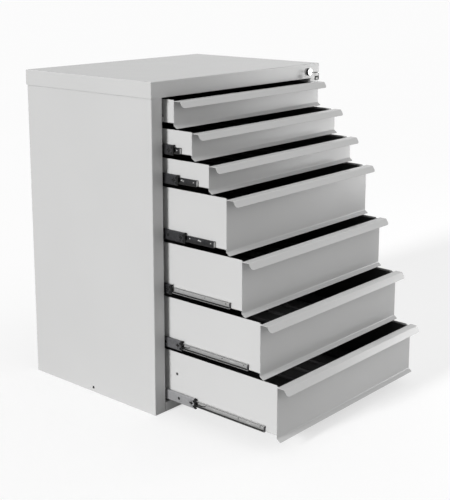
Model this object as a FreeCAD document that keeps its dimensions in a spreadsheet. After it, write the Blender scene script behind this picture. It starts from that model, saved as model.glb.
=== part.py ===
import FreeCAD, Part
import os

import Sketcher

# Microscope slide cabinet: sheet-steel carcass, seven drawers on telescopic ball runners, central lock.
# Millimetres. X runs to the right, +Y to the back and +Z up; the origin is the centre of the carcass
# footprint on the floor. The drawers stand open in a cascade, which is the rest position.

DOC = FreeCAD.newDocument("SlideCabinet")
SHEET = DOC.addObject("Spreadsheet::Sheet", "Sizes")

DRIVING_SIZES = {
    # carcass
    "cabinet_width": 795.0,
    "cabinet_depth": 558.0,
    "cover_flange": 47.6,
    "cover_sheet": 1.2,
    "cover_overhang": 2.6,
    "cover_bend": 2.0,
    "side_sheet": 1.2,
    "side_bend": 1.8,
    "stile_width": 44.0,
    "stile_return": 15.0,
    "rear_return": 25.0,
    "back_sheet": 1.0,
    "base_height": 28.5,
    "base_sheet": 1.5,
    "base_return": 14.0,
    "fixing_hole": 9.5,
    "fixing_hole_height": 14.0,
    # drawer fronts
    "shallow_face": 69.4,
    "deep_face": 149.9,
    "front_sheet": 1.2,
    "front_bend": 2.2,
    "front_side_gap": 7.3,
    "front_gap": 7.4,
    "top_gap": 7.6,
    "bottom_gap": 3.9,
    "lip_flat": 17.0,
    "lip_reach": 35.0,
    "lip_drop": 18.5,
    "lip_corner": 5.0,
    "toe_reach": 11.9,
    "toe_drop": 8.6,
    "toe_bend": 5.0,
    "toe_corner": 3.0,
    # drawer boxes
    "front_overlap": 8.2,
    "wall_lift": 3.5,
    "wall_rise": 1.5,
    "box_sheet": 1.0,
    "box_bend": 1.5,
    "hem_height": 8.0,
    "hem_setback": 7.0,
    "hem_step": 3.0,
    # slide trays
    "tray_clearance": 0.8,
    "tray_wall": 2.0,
    "tray_top_gap": 2.0,
    "row_pitch": 81.0,
    "row_rib_height": 9.0,
    # runners
    "runner_thickness": 12.7,
    "runner_steel": 1.4,
    "outer_height": 34.0,
    "outer_reach": 9.9,
    "outer_lip": 3.6,
    "mid_height": 25.4,
    "mid_steel": 1.2,
    "mid_standoff": 2.8,
    "mid_reach": 9.6,
    "inner_height": 19.0,
    "inner_reach": 7.5,
    "ball_strip_inset": 2.6,
    "ball_clearance": 0.25,
    "ball_strip_width": 3.0,
    "ball_strip_length": 200.0,
    "inner_setback": 46.5,
    "runner_end_gap": 2.0,
    "catch_length": 6.5,
    "catch_clearance": 0.5,
    "outer_end_gap": 1.0,
    "box_rear_gap": 5.0,
    "catch_horn": 3.6,
    "runner_rear_gap": 21.5,
    "inner_stop_height": 15.0,
    "slot_place": 62.6,
    "slot_length": 13.0,
    "slot_width": 5.0,
    # uprights
    "upright_sheet": 1.5,
    "upright_bend": 2.0,
    "front_upright_setback": 35.0,
    "upright_width": 41.5,
    "rear_upright_gap": 36.0,
    # lock
    "lock_drop": 26.0,
    "rosette_diameter": 24.0,
    "barrel_diameter": 18.0,
    "barrel_nose": 8.0,
    "barrel_tail": 26.0,
    "plug_diameter": 13.0,
    "lock_clearance": 0.3,
    "nut_width": 24.0,
    "nut_flat": 7.0,
    "nut_thickness": 5.0,
    "nut_side_gap": 1.4,
    "cam_thickness": 2.5,
    "cam_width": 9.0,
    "cam_pin": 4.0,
    "bar_lift": 10.0,
    "bar_sheet": 3.0,
    "bar_width": 20.0,
    "bar_gap": 1.0,
    "bar_side_gap": 3.8,
    "bar_finger": 13.0,
    "finger_height": 8.0,
    "finger_gap": 2.0,
    "lug_height": 8.0,
    "lug_level": 50.0,
    "lug_gap": 2.5,
    "lug_reach": 11.0,
    "lug_foot": 12.0,
    "lug_sheet": 2.0,
    "stud_diameter": 6.0,
    "stud_head": 11.0,
    "stud_head_height": 1.5,
    "lower_stud_height": 260.0,
    "upper_stud_height": 760.0,
    "bar_foot": 20.0,
    # key, ring and spare key
    "key_width": 8.2,
    "key_sheet": 2.0,
    "key_engagement": 20.0,
    "key_stem": 8.0,
    "bow_diameter": 20.0,
    "bow_hole": 7.0,
    "bow_rim": 3.0,
    "ring_radius": 8.0,
    "ring_wire": 1.4,
    "fob_width": 19.0,
    "fob_height": 13.0,
    "fob_thickness": 4.0,
    "fob_hole": 4.2,
    "fob_rim": 1.8,
    # how far each intermediate member, and each drawer beyond it, stands open
    "mid_open_1": 18.0,
    "mid_open_2": 82.5,
    "mid_open_3": 99.5,
    "mid_open_4": 126.0,
    "mid_open_5": 70.5,
    "mid_open_6": 110.5,
    "mid_open_7": 163.0,
    "drawer_open_1": 18.5,
    "drawer_open_2": 22.7,
    "drawer_open_3": 69.6,
    "drawer_open_4": 108.0,
    "drawer_open_5": 220.6,
    "drawer_open_6": 247.0,
    "drawer_open_7": 255.7,
}

SHALLOW_DRAWERS = 3
DRAWERS = 7
TRAY_ROWS = 8
FULL_TURN = 360
HEXAGON_REACH = 2 / 3 ** 0.5  # a hexagon's size over its corners, per unit of its size over its flats
QUARTER_TURN_BULGE = 2 ** 0.5 - 1  # how far a pin strays sideways in a quarter turn, per unit of its offset
NORMAL_SIGN = {"XY": 1, "XZ": -1, "YZ": 1}


class Size:
    """A length written as a formula over the spreadsheet's cells."""

    def __init__(self, text):
        self.text = str(text)

    def __add__(self, other):
        return Size(f"({self.text} + {other})")

    def __radd__(self, other):
        return Size(f"({other} + {self.text})")

    def __sub__(self, other):
        return Size(f"({self.text} - {other})")

    def __mul__(self, factor):
        return Size(f"({self.text} * {factor})")

    def __truediv__(self, divisor):
        return Size(f"({self.text} / {divisor})")

    def __neg__(self):
        return Size(f"(0 - {self.text})")

    def __str__(self):
        return self.text

    def value(self):
        return float(SHEET.evalExpression(self.text))


ZERO = Size(0)


def size(alias):
    return Size(f"Sizes.{alias}")


def number(length):
    return length.value() if isinstance(length, Size) else float(length)


def fill_sheet():
    for row, (alias, value) in enumerate(DRIVING_SIZES.items(), start=1):
        SHEET.set(f"A{row}", str(value))
        SHEET.setAlias(f"A{row}", alias)
    DOC.recompute()


# ---------------------------------------------------------------- places worked out from the sizes

HALF_WIDTH = size("cabinet_width") / 2
HALF_DEPTH = size("cabinet_depth") / 2
BODY_HALF_WIDTH = HALF_WIDTH - size("cover_overhang")
BODY_HALF_DEPTH = HALF_DEPTH - size("cover_overhang")
SKIN = BODY_HALF_WIDTH - size("side_sheet")
STILE_EDGE = BODY_HALF_WIDTH - size("stile_width")
FRONT_HALF_WIDTH = STILE_EDGE - size("front_side_gap")
BOX_HALF_WIDTH = FRONT_HALF_WIDTH - size("front_overlap")
UPRIGHT_FACE = BOX_HALF_WIDTH + size("runner_thickness")

SHALLOW_PITCH = size("shallow_face") + size("toe_drop") + size("front_gap")
DEEP_PITCH = size("deep_face") + size("toe_drop") + size("front_gap")
STACK = SHALLOW_PITCH * SHALLOW_DRAWERS + DEEP_PITCH * (DRAWERS - SHALLOW_DRAWERS) - size("front_gap")
OPENING_TOP = size("base_height") + size("bottom_gap") + STACK + size("top_gap")
CABINET_HEIGHT = OPENING_TOP + size("cover_flange")
BODY_TOP = CABINET_HEIGHT - size("cover_sheet")

MID_SETBACK = size("inner_setback") + size("runner_end_gap")
MID_STEEL_SETBACK = MID_SETBACK + size("catch_length")
OUTER_SETBACK = MID_STEEL_SETBACK + size("outer_end_gap")
INNER_LENGTH = size("cabinet_depth") - size("inner_setback") - size("runner_rear_gap")
RUNNER_END = size("inner_setback") + INNER_LENGTH
BOX_END = RUNNER_END + size("box_rear_gap")
INNER_AXIS = size("inner_height") / 2

BAR_FACE = size("front_upright_setback") - size("bar_gap") - size("bar_sheet")
LOCK_X = STILE_EDGE - size("nut_width") / 2 - size("nut_side_gap")
LOCK_Z = CABINET_HEIGHT - size("lock_drop")
CAM_THROW = size("bar_lift") / 2
BAR_EDGE = UPRIGHT_FACE + size("bar_side_gap")


def is_shallow(drawer):
    return drawer <= SHALLOW_DRAWERS


def face_height(drawer):
    return size("shallow_face") if is_shallow(drawer) else size("deep_face")


def wall_height(face):
    return face - size("wall_lift") + size("wall_rise")


def face_top(drawer):
    """Height of the top of a drawer's front above the floor."""
    shallow_above = min(drawer - 1, SHALLOW_DRAWERS)
    deep_above = drawer - 1 - shallow_above
    return OPENING_TOP - size("top_gap") - SHALLOW_PITCH * shallow_above - DEEP_PITCH * deep_above


def wall_bottom(drawer):
    """Height of the underside of a drawer's box, the level its runners are set from."""
    return face_top(drawer) - face_height(drawer) + size("wall_lift")


def mid_opening(drawer):
    return size(f"mid_open_{drawer}")


def drawer_opening(drawer):
    return mid_opening(drawer) + size(f"drawer_open_{drawer}")


# ---------------------------------------------------------------- building blocks


def new_body(label, x=ZERO, y=ZERO, z=ZERO):
    body = DOC.addObject("PartDesign::Body", label)
    body.Label = label
    place(body, x, y, z)
    return body


def place(item, x=ZERO, y=ZERO, z=ZERO):
    for axis, length in (("x", x), ("y", y), ("z", z)):
        item.setExpression(f"Placement.Base.{axis}", str(length))


def new_sketch(body, plane, at=ZERO):
    """A sketch on one of the body's own planes, moved to the coordinate `at` across that plane."""
    sketch = body.newObject("Sketcher::SketchObject", "Sketch")
    role = f"{plane}_Plane"
    support = next(item for item in body.Origin.OriginFeatures if item.Role == role)
    sketch.AttachmentSupport = (support, "")
    sketch.MapMode = "FlatFace"
    offset = at if NORMAL_SIGN[plane] > 0 else -at
    sketch.setExpression("AttachmentOffset.Base.z", str(offset))
    return sketch


def bind(sketch, constraint, length):
    index = sketch.addConstraint(constraint)
    sketch.setExpression(f"Constraints[{index}]", str(length))


def pin_point(sketch, line, end, x, y):
    """Fix one end of a line to coordinates given by two formulas."""
    bind(sketch, Sketcher.Constraint("DistanceX", -1, 1, line, end, number(x)), x)
    bind(sketch, Sketcher.Constraint("DistanceY", -1, 1, line, end, number(y)), y)


def add_polygon(sketch, corners):
    """A closed outline whose corners follow the formulas they are given."""
    points = [FreeCAD.Vector(number(x), number(y), 0) for x, y in corners]
    first = sketch.GeometryCount
    count = len(points)
    for index, point in enumerate(points):
        sketch.addGeometry(Part.LineSegment(point, points[(index + 1) % count]), False)
    for index in range(count):
        following = first + (index + 1) % count
        sketch.addConstraint(Sketcher.Constraint("Coincident", first + index, 2, following, 1))
    for index, (x, y) in enumerate(corners):
        pin_point(sketch, first + index, 1, x, y)


def add_rectangle(sketch, low_x, low_y, high_x, high_y):
    add_polygon(sketch, [(low_x, low_y), (high_x, low_y), (high_x, high_y), (low_x, high_y)])


def add_hexagon(sketch, x, y, across_flats):
    flat = across_flats / 2
    corner = flat * HEXAGON_REACH
    add_polygon(sketch, [
        (x + corner, y), (x + corner / 2, y + flat), (x - corner / 2, y + flat),
        (x - corner, y), (x - corner / 2, y - flat), (x + corner / 2, y - flat),
    ])


def add_circle(sketch, x, y, diameter):
    index = sketch.GeometryCount
    centre = FreeCAD.Vector(number(x), number(y), 0)
    radius = number(diameter) / 2
    sketch.addGeometry(Part.Circle(centre, FreeCAD.Vector(0, 0, 1), radius), False)
    bind(sketch, Sketcher.Constraint("DistanceX", -1, 1, index, 3, number(x)), x)
    bind(sketch, Sketcher.Constraint("DistanceY", -1, 1, index, 3, number(y)), y)
    bind(sketch, Sketcher.Constraint("Diameter", index, number(diameter)), diameter)


def left_normal(start, end):
    along = (end - start).normalize()
    return FreeCAD.Vector(-along.y, along.x, 0)


def offset_corners(points, thickness):
    """The corners of the open path `points`, moved to its left by the sheet's thickness."""
    shifted = [points[0] + left_normal(points[0], points[1]) * thickness]
    for before, corner, after in zip(points, points[1:], points[2:]):
        first = left_normal(before, corner)
        second = left_normal(corner, after)
        shifted.append(corner + (first + second) * (thickness / (1 + first.dot(second))))
    shifted.append(points[-1] + left_normal(points[-2], points[-1]) * thickness)
    return shifted


def add_folded_sheet(sketch, path, thickness):
    """The section of a folded sheet: an open path, thickened to its left by the sheet's thickness."""
    points = [FreeCAD.Vector(number(x), number(y), 0) for x, y in path]
    inside = offset_corners(points, number(thickness))
    loop = points + inside[::-1]
    count = len(loop)
    folds = len(points) - 1
    for index, point in enumerate(loop):
        sketch.addGeometry(Part.LineSegment(point, loop[(index + 1) % count]), False)
    for index in range(count):
        sketch.addConstraint(Sketcher.Constraint("Coincident", index, 2, (index + 1) % count, 1))
    for index, (x, y) in enumerate(path[:-1]):
        pin_point(sketch, index, 1, x, y)
    pin_point(sketch, folds - 1, 2, *path[-1])
    for index in range(folds):
        twin = count - 2 - index
        sketch.addConstraint(Sketcher.Constraint("Parallel", index, twin))
        bind(sketch, Sketcher.Constraint("Distance", twin, 1, index, number(thickness)), thickness)
    sketch.addConstraint(Sketcher.Constraint("Perpendicular", folds - 1, folds))
    sketch.addConstraint(Sketcher.Constraint("Perpendicular", 0, count - 1))


def plane_of(sketch):
    return sketch.AttachmentSupport[0][0].Role[:2]


def extrude(sketch, length, towards=1, midplane=False):
    """Pad a sketch along the global axis across its plane, up or down that axis."""
    body = sketch.getParentGeoFeatureGroup()
    pad = body.newObject("PartDesign::Pad", "Pad")
    pad.Profile = sketch
    pad.setExpression("Length", str(length))
    pad.Midplane = midplane
    pad.Reversed = towards * NORMAL_SIGN[plane_of(sketch)] < 0
    return pad


def cut(sketch, length, towards=1, midplane=False):
    """Pocket a sketch along the global axis across its plane, up or down that axis."""
    body = sketch.getParentGeoFeatureGroup()
    pocket = body.newObject("PartDesign::Pocket", "Pocket")
    pocket.Profile = sketch
    pocket.setExpression("Length", str(length))
    pocket.Midplane = midplane
    pocket.Reversed = towards * NORMAL_SIGN[plane_of(sketch)] > 0
    return pocket


def edges_where(feature, wanted):
    """Names of the straight edges of a feature for which wanted(start, end) is true."""
    names = []
    for index, edge in enumerate(feature.Shape.Edges, start=1):
        if len(edge.Vertexes) != 2:
            continue
        start, end = (vertex.Point for vertex in edge.Vertexes)
        if wanted(start, end):
            names.append(f"Edge{index}")
    return names


def round_edges(feature, radius, wanted):
    """Fillet the chosen straight edges of a feature."""
    DOC.recompute()
    names = edges_where(feature, wanted)
    if not names:
        raise ValueError(f"{feature.Label}: no edge to round")
    fillet = feature.getParentGeoFeatureGroup().newObject("PartDesign::Fillet", "Fillet")
    fillet.Base = (feature, names)
    fillet.setExpression("Radius", str(radius))
    return fillet


def near(first, second):
    return abs(first - second) < 1e-4


def runs_along(axis, places):
    """Test for edges that run along one axis at any of the given places across it."""
    across = [name for name in "xyz" if name != axis]
    targets = [tuple(number(coordinate) for coordinate in spot) for spot in places]

    def wanted(start, end):
        if any(not near(getattr(start, name), getattr(end, name)) for name in across):
            return False
        spot = tuple(getattr(start, name) for name in across)
        return any(near(spot[0], goal[0]) and near(spot[1], goal[1]) for goal in targets)

    return wanted


def bend_places(path, thickness, outside):
    """Corners of a folded sheet's section: on its path, or on the path's thickened side."""
    points = [FreeCAD.Vector(number(x), number(y), 0) for x, y in path]
    corners = points if outside else offset_corners(points, number(thickness))
    return [(corner.x, corner.y) for corner in corners[1:-1]]


def bend_sheet(pad, axis, path, thickness, inner_radius, path_is_outside=True):
    """Round both sides of every fold of a padded sheet section."""
    on_path = bend_places(path, thickness, True)
    off_path = bend_places(path, thickness, False)
    outside, inside = (on_path, off_path) if path_is_outside else (off_path, on_path)
    fillet = round_edges(pad, inner_radius + thickness, runs_along(axis, outside))
    return round_edges(fillet, inner_radius, runs_along(axis, inside))


def mirrored(source, label):
    mirror = DOC.addObject("Part::Mirroring", label)
    mirror.Label = label
    mirror.Source = source
    mirror.Normal = (1, 0, 0)
    return mirror


def gather(label, pieces, x=ZERO, y=ZERO, z=ZERO):
    """A node made of one or more finished solids, set in place."""
    group = DOC.addObject("Part::Compound", label)
    group.Label = label
    group.Links = pieces
    place(group, x, y, z)
    return group


# ---------------------------------------------------------------- carcass


def top_cover():
    body = new_body("top_cover", z=OPENING_TOP)
    outline = new_sketch(body, "XY")
    add_rectangle(outline, -HALF_WIDTH, -HALF_DEPTH, HALF_WIDTH, HALF_DEPTH)
    block = extrude(outline, size("cover_flange"))
    top = size("cover_flange")
    along_x = runs_along("x", [(-HALF_DEPTH, top), (HALF_DEPTH, top)])
    along_y = runs_along("y", [(-HALF_WIDTH, top), (HALF_WIDTH, top)])
    round_edges(block, size("cover_bend"), lambda a, b: along_x(a, b) or along_y(a, b))
    hollow = new_sketch(body, "XY")
    inner_width = HALF_WIDTH - size("cover_sheet")
    inner_depth = HALF_DEPTH - size("cover_sheet")
    add_rectangle(hollow, -inner_width, -inner_depth, inner_width, inner_depth)
    cut(hollow, size("cover_flange") - size("cover_sheet"), towards=1)
    lock_hole = new_sketch(body, "XZ", at=-HALF_DEPTH)
    add_circle(lock_hole, LOCK_X, LOCK_Z - OPENING_TOP, size("barrel_diameter") + size("lock_clearance"))
    cut(lock_hole, size("cover_sheet"))
    return body


def side_panel(side):
    """Folded panel of one side: stile and its return at the front, skin, and a return at the back."""
    label = "side_panel_left" if side < 0 else "side_panel_right"
    body = new_body(label)
    skin = BODY_HALF_WIDTH * side
    stile = STILE_EDGE * side
    rear = (BODY_HALF_WIDTH - size("rear_return")) * side
    path = [
        (stile, -BODY_HALF_DEPTH + size("stile_return")),
        (stile, -BODY_HALF_DEPTH),
        (skin, -BODY_HALF_DEPTH),
        (skin, BODY_HALF_DEPTH),
        (rear, BODY_HALF_DEPTH),
    ]
    if side < 0:
        path = path[::-1]
    section = new_sketch(body, "XY")
    add_folded_sheet(section, path, size("side_sheet"))
    pad = extrude(section, BODY_TOP)
    bend_sheet(pad, "z", path, size("side_sheet"), size("side_bend"))
    fixing = new_sketch(body, "YZ", at=skin)
    add_circle(fixing, ZERO, size("fixing_hole_height"), size("fixing_hole"))
    cut(fixing, size("side_sheet"), towards=-side)
    return body


def back_panel():
    body = new_body("back_panel")
    rear = BODY_HALF_DEPTH - size("side_sheet")
    half_width = SKIN - size("side_bend")
    sheet = new_sketch(body, "XZ", at=rear)
    add_rectangle(sheet, -half_width, ZERO, half_width, BODY_TOP)
    extrude(sheet, size("back_sheet"), towards=-1)
    return body


def base_tray():
    """Tray that closes the bottom, notched round the stiles and the panels' rear bends, turned in on top."""
    body = new_body("base_tray")
    sheet = size("base_sheet")
    front = -BODY_HALF_DEPTH
    notch = front + size("stile_return") + sheet
    rear = BODY_HALF_DEPTH - size("side_sheet") - size("back_sheet")

    def outline(sketch, inset):
        narrow = STILE_EDGE - inset
        wide = SKIN - inset
        right = [
            (narrow, front + inset),
            (narrow, notch + inset),
            (wide, notch + inset),
            (wide, rear - inset - size("side_bend")),
            (wide - size("side_bend"), rear - inset),
        ]
        left = [(-x, y) for x, y in right[::-1]]
        add_polygon(sketch, right + left)

    block = new_sketch(body, "XY")
    outline(block, ZERO)
    extrude(block, size("base_height"))
    mouth = new_sketch(body, "XY", at=sheet)
    outline(mouth, size("base_return"))
    cut(mouth, size("base_height") - sheet, towards=1)
    hollow = new_sketch(body, "XY", at=sheet)
    outline(hollow, sheet)
    cut(hollow, size("base_height") - sheet * 2, towards=1)
    fixing = new_sketch(body, "YZ")
    add_circle(fixing, ZERO, size("fixing_hole_height"), size("fixing_hole"))
    cut(fixing, SKIN * 2, midplane=True)
    return body


def upright(label, front, with_studs=False):
    """C-section post, open to the side panel; the cabinet members are welded to its web."""
    body = new_body(label)
    rear = front + size("upright_width")
    path = [(SKIN, rear), (UPRIGHT_FACE, rear), (UPRIGHT_FACE, front), (SKIN, front)]
    section = new_sketch(body, "XY", at=size("base_height"))
    add_folded_sheet(section, path, size("upright_sheet"))
    pad = extrude(section, BODY_TOP - size("base_height"))
    bend_sheet(pad, "z", path, size("upright_sheet"), size("upright_bend"))
    if with_studs:
        add_bar_studs(body, front)
    return body


def add_bar_studs(body, front):
    """Two studs with hexagon heads on the post's front flange that guide the locking bar."""
    centre = BAR_EDGE + size("bar_width") / 2
    reach = size("bar_gap") + size("bar_sheet") + size("lock_clearance")
    shanks = new_sketch(body, "XZ", at=front)
    heads = new_sketch(body, "XZ", at=front - reach)
    for name in ("lower_stud_height", "upper_stud_height"):
        add_circle(shanks, centre, size(name), size("stud_diameter"))
        add_hexagon(heads, centre, size(name), size("stud_head"))
    extrude(shanks, reach, towards=-1)
    extrude(heads, size("stud_head_height"), towards=-1)


def uprights():
    """Front and rear posts of both sides; the right front one guides the locking bar."""
    front = size("front_upright_setback") - HALF_DEPTH
    rear = HALF_DEPTH - size("rear_upright_gap") - size("upright_width")
    rear_right = upright("rear_upright_right", rear)
    return [
        mirrored(upright("front_upright_master", front), "front_upright_left"),
        upright("front_upright_right", front, with_studs=True),
        mirrored(rear_right, "rear_upright_left"),
        rear_right,
    ]


# ---------------------------------------------------------------- runners
# Each member is drawn on the right side of the cabinet, at the height of a drawer's underside, with Y
# measured from the front plane. Its web stands towards the side panel or the drawer.


def runner_member(label, path, thickness, start, length):
    """One rolled channel, from its section and the place of its front end."""
    body = new_body(label)
    section = new_sketch(body, "XZ", at=start)
    add_folded_sheet(section, path, thickness)
    extrude(section, length)
    return body


def outer_member():
    """Cabinet member: a wide channel with turned-in lips that hold the outer balls."""
    back = UPRIGHT_FACE
    mouth = back - size("outer_reach")
    high = INNER_AXIS + size("outer_height") / 2
    low = INNER_AXIS - size("outer_height") / 2
    path = [
        (mouth, low + size("outer_lip")),
        (mouth, low),
        (back, low),
        (back, high),
        (mouth, high),
        (mouth, high - size("outer_lip")),
    ]
    length = RUNNER_END - OUTER_SETBACK
    return runner_member("outer_member", path, size("runner_steel"), OUTER_SETBACK, length)


def ball_strips(body, start, half_gap, thickness, reach_low, reach_high):
    """Two cages, above and below a channel's flanges, that carry the rows of balls."""
    strips = new_sketch(body, "XZ", at=start)
    for sign in (-1, 1):
        near_side = INNER_AXIS + half_gap * sign
        far_side = INNER_AXIS + (half_gap + thickness) * sign
        add_rectangle(strips, reach_low, near_side, reach_high, far_side)
    extrude(strips, size("ball_strip_length"))


def mid_member():
    """Intermediate member: a channel inside the cabinet member that carries both pairs of ball cages."""
    back = UPRIGHT_FACE - size("mid_standoff")
    mouth = UPRIGHT_FACE - size("mid_reach")
    half = size("mid_height") / 2
    path = [
        (mouth, INNER_AXIS - half),
        (back, INNER_AXIS - half),
        (back, INNER_AXIS + half),
        (mouth, INNER_AXIS + half),
    ]
    length = RUNNER_END - MID_STEEL_SETBACK
    body = runner_member("mid_member", path, size("mid_steel"), MID_STEEL_SETBACK, length)
    clearance = size("ball_clearance")
    steel = size("mid_steel")
    outer_gap = size("outer_height") / 2 - size("runner_steel") - half - clearance
    strip_high = back - size("ball_strip_inset")
    strip_low = strip_high - size("ball_strip_width")
    rear_start = RUNNER_END - size("ball_strip_length") - size("runner_end_gap")
    ball_strips(body, rear_start, half, outer_gap, strip_low, strip_high)
    inner_half = size("inner_height") / 2 + clearance
    inner_gap = half - steel - inner_half
    front_start = MID_STEEL_SETBACK + size("runner_end_gap")
    ball_strips(body, front_start, inner_half, inner_gap, mouth, mouth + size("ball_strip_width"))
    return body


def mid_catch():
    """Plastic end piece on the front of the intermediate member, open where the drawer member passes."""
    body = new_body("mid_catch")
    back = UPRIGHT_FACE - size("mid_standoff")
    mouth = UPRIGHT_FACE - size("mid_reach")
    half = size("mid_height") / 2
    passage = size("inner_height") / 2 + size("catch_clearance")
    floor = BOX_HALF_WIDTH + size("inner_reach") + size("catch_clearance")
    profile = new_sketch(body, "XZ", at=MID_SETBACK)
    add_polygon(profile, [
        (mouth, INNER_AXIS - half),
        (back, INNER_AXIS - half),
        (back, INNER_AXIS + half),
        (mouth, INNER_AXIS + half),
        (mouth, INNER_AXIS + passage),
        (floor, INNER_AXIS + passage),
        (floor, INNER_AXIS - passage),
        (mouth, INNER_AXIS - passage),
    ])
    extrude(profile, size("catch_length"))
    horn = new_sketch(body, "XZ", at=MID_SETBACK)
    top = INNER_AXIS + half
    add_rectangle(horn, mouth, top, back, top + size("catch_horn"))
    extrude(horn, size("catch_length") / 2)
    return body


def inner_member():
    """Drawer member: a narrow channel on the drawer wall with a turned-out stop at its front end."""
    web = BOX_HALF_WIDTH
    mouth = web + size("inner_reach")
    half = size("inner_height") / 2
    path = [
        (mouth, INNER_AXIS + half),
        (web, INNER_AXIS + half),
        (web, INNER_AXIS - half),
        (mouth, INNER_AXIS - half),
    ]
    steel = size("mid_steel")
    start = size("inner_setback")
    body = runner_member("inner_member", path, steel, start, INNER_LENGTH)
    stop = new_sketch(body, "XZ", at=start)
    stop_half = size("inner_stop_height") / 2
    add_rectangle(stop, web, INNER_AXIS - stop_half, mouth, INNER_AXIS + stop_half)
    extrude(stop, steel)
    slot = new_sketch(body, "YZ", at=web)
    slot_centre = start + size("slot_place")
    half_length = size("slot_length") / 2
    half_width = size("slot_width") / 2
    add_rectangle(
        slot,
        slot_centre - half_length,
        INNER_AXIS - half_width,
        slot_centre + half_length,
        INNER_AXIS + half_width,
    )
    cut(slot, steel, towards=1)
    return body


def cabinet_runners():
    outer_right = outer_member()
    outer_left = mirrored(outer_right, "outer_member_left")
    members = []
    for drawer in range(1, DRAWERS + 1):
        pair = [outer_left, outer_right]
        members.append(gather(f"outer_pair_{drawer}", pair, y=-HALF_DEPTH, z=wall_bottom(drawer)))
    return gather("cabinet_members", members)


def drawer_runners():
    mid_right = mid_member()
    mid_left = mirrored(mid_right, "mid_member_left")
    catch_right = mid_catch()
    catch_left = mirrored(catch_right, "mid_catch_left")
    inner_right = inner_member()
    inner_left = mirrored(inner_right, "inner_member_left")
    nodes = []
    for drawer in range(1, DRAWERS + 1):
        height = wall_bottom(drawer)
        mid_y = -HALF_DEPTH - mid_opening(drawer)
        drawer_y = -HALF_DEPTH - drawer_opening(drawer)
        nodes.append(gather(f"mid_members_{drawer}", [mid_left, mid_right], y=mid_y, z=height))
        nodes.append(gather(f"mid_catches_{drawer}", [catch_left, catch_right], y=mid_y, z=height))
        pair = [inner_left, inner_right]
        nodes.append(gather(f"drawer_members_{drawer}", pair, y=drawer_y, z=height))
    return nodes


# ---------------------------------------------------------------- drawers
# The shallow and the deep drawer are each drawn once, at the height of the box's underside, with Y
# measured from the outside of the front.


def drawer_front(label, face):
    """Front folded from one sheet: gull-shaped pull lip along the top, forward bend along the bottom."""
    body = new_body(label)
    low = -size("wall_lift")
    high = low + face
    sheet = size("front_sheet")
    path = [
        (-size("lip_reach"), high - size("lip_drop")),
        (-size("lip_flat"), high - sheet),
        (ZERO, high - sheet),
        (ZERO, low),
        (-size("toe_reach"), low - size("toe_drop")),
    ]
    section = new_sketch(body, "YZ")
    add_folded_sheet(section, path, sheet)
    pad = extrude(section, FRONT_HALF_WIDTH * 2, midplane=True)
    points = [FreeCAD.Vector(number(y), number(z), 0) for y, z in path]
    far = offset_corners(points, number(sheet))
    lip, corner, toe = 1, 2, 3
    spots = {
        "lip": [(points[lip].x, points[lip].y), (points[corner].x, points[corner].y)],
        "lip_back": [(far[lip].x, far[lip].y), (far[corner].x, far[corner].y)],
        "toe": [(points[toe].x, points[toe].y)],
        "toe_back": [(far[toe].x, far[toe].y)],
    }
    bend = round_edges(pad, size("front_bend"), runs_along("x", spots["lip"]))
    bend = round_edges(bend, size("front_bend") + sheet, runs_along("x", spots["lip_back"]))
    bend = round_edges(bend, size("toe_bend"), runs_along("x", spots["toe"]))
    bend = round_edges(bend, size("toe_bend") + sheet, runs_along("x", spots["toe_back"]))
    tip_near, tip_far = points[0], far[0]
    lip_edges = joins(tip_near, tip_far)
    bend = round_edges(bend, size("lip_corner"), lip_edges)
    round_edges(bend, size("toe_corner"), joins(points[-1], far[-1]))
    return body


def joins(first, second):
    """Test for the short edges across a sheet's free edge, given that edge's two corners as (y, z)."""
    def wanted(start, end):
        spots = ((first.x, first.y), (second.x, second.y))
        a = (start.y, start.z)
        b = (end.y, end.z)
        forward = near(a[0], spots[0][0]) and near(b[0], spots[1][0])
        backward = near(a[0], spots[1][0]) and near(b[0], spots[0][0])
        level = min(spots[0][1], spots[1][1]) - 1e-4 <= min(a[1], b[1])
        level = level and max(a[1], b[1]) <= max(spots[0][1], spots[1][1]) + 1e-4
        return near(start.x, end.x) and level and (forward or backward)

    return wanted


def drawer_box(label, face):
    """Sheet box: folded floor and walls, welded ends, hemmed top edges and a lug for the lock."""
    body = new_body(label)
    sheet = size("box_sheet")
    half = BOX_HALF_WIDTH
    start = size("front_sheet")
    length = BOX_END - start
    height = wall_height(face)
    path = [(half, height), (half, ZERO), (-half, ZERO), (-half, height)]
    section = new_sketch(body, "XZ", at=start)
    add_folded_sheet(section, path[::-1], sheet)
    shell = extrude(section, length)
    bends = bend_places(path[::-1], sheet, True)
    round_edges(shell, size("box_bend") + sheet, runs_along("y", bends))
    for at, towards in ((start, 1), (BOX_END, -1)):
        end_wall = new_sketch(body, "XZ", at=at)
        add_rectangle(end_wall, -half + sheet, sheet, half - sheet, height)
        extrude(end_wall, sheet, towards=towards)
    hems = new_sketch(body, "XZ", at=start)
    for side in (-1, 1):
        outer = (half - sheet) * side
        inner = (half - sheet * 2) * side
        add_rectangle(hems, inner, height - size("hem_height"), outer, height)
    extrude(hems, length)
    step = new_sketch(body, "XZ", at=start)
    add_rectangle(step, -half, height - size("hem_step"), half, height)
    cut(step, size("hem_setback"), towards=1)
    return gather(f"{label}_with_lug", [body, lock_lug(f"{label}_lug")])


def lock_lug(label):
    """Angle welded to the right wall; the locking bar's finger rises in front of it."""
    body = new_body(label)
    front = BAR_FACE + size("bar_sheet") + size("lug_gap")
    plan = new_sketch(body, "XY", at=size("lug_level"))
    wall = BOX_HALF_WIDTH
    thickness = size("lug_sheet")
    add_polygon(plan, [
        (wall, front),
        (wall + size("lug_reach"), front),
        (wall + size("lug_reach"), front + thickness),
        (wall + thickness, front + thickness),
        (wall + thickness, front + size("lug_foot")),
        (wall, front + size("lug_foot")),
    ])
    extrude(plan, size("lug_height"))
    return body


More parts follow.
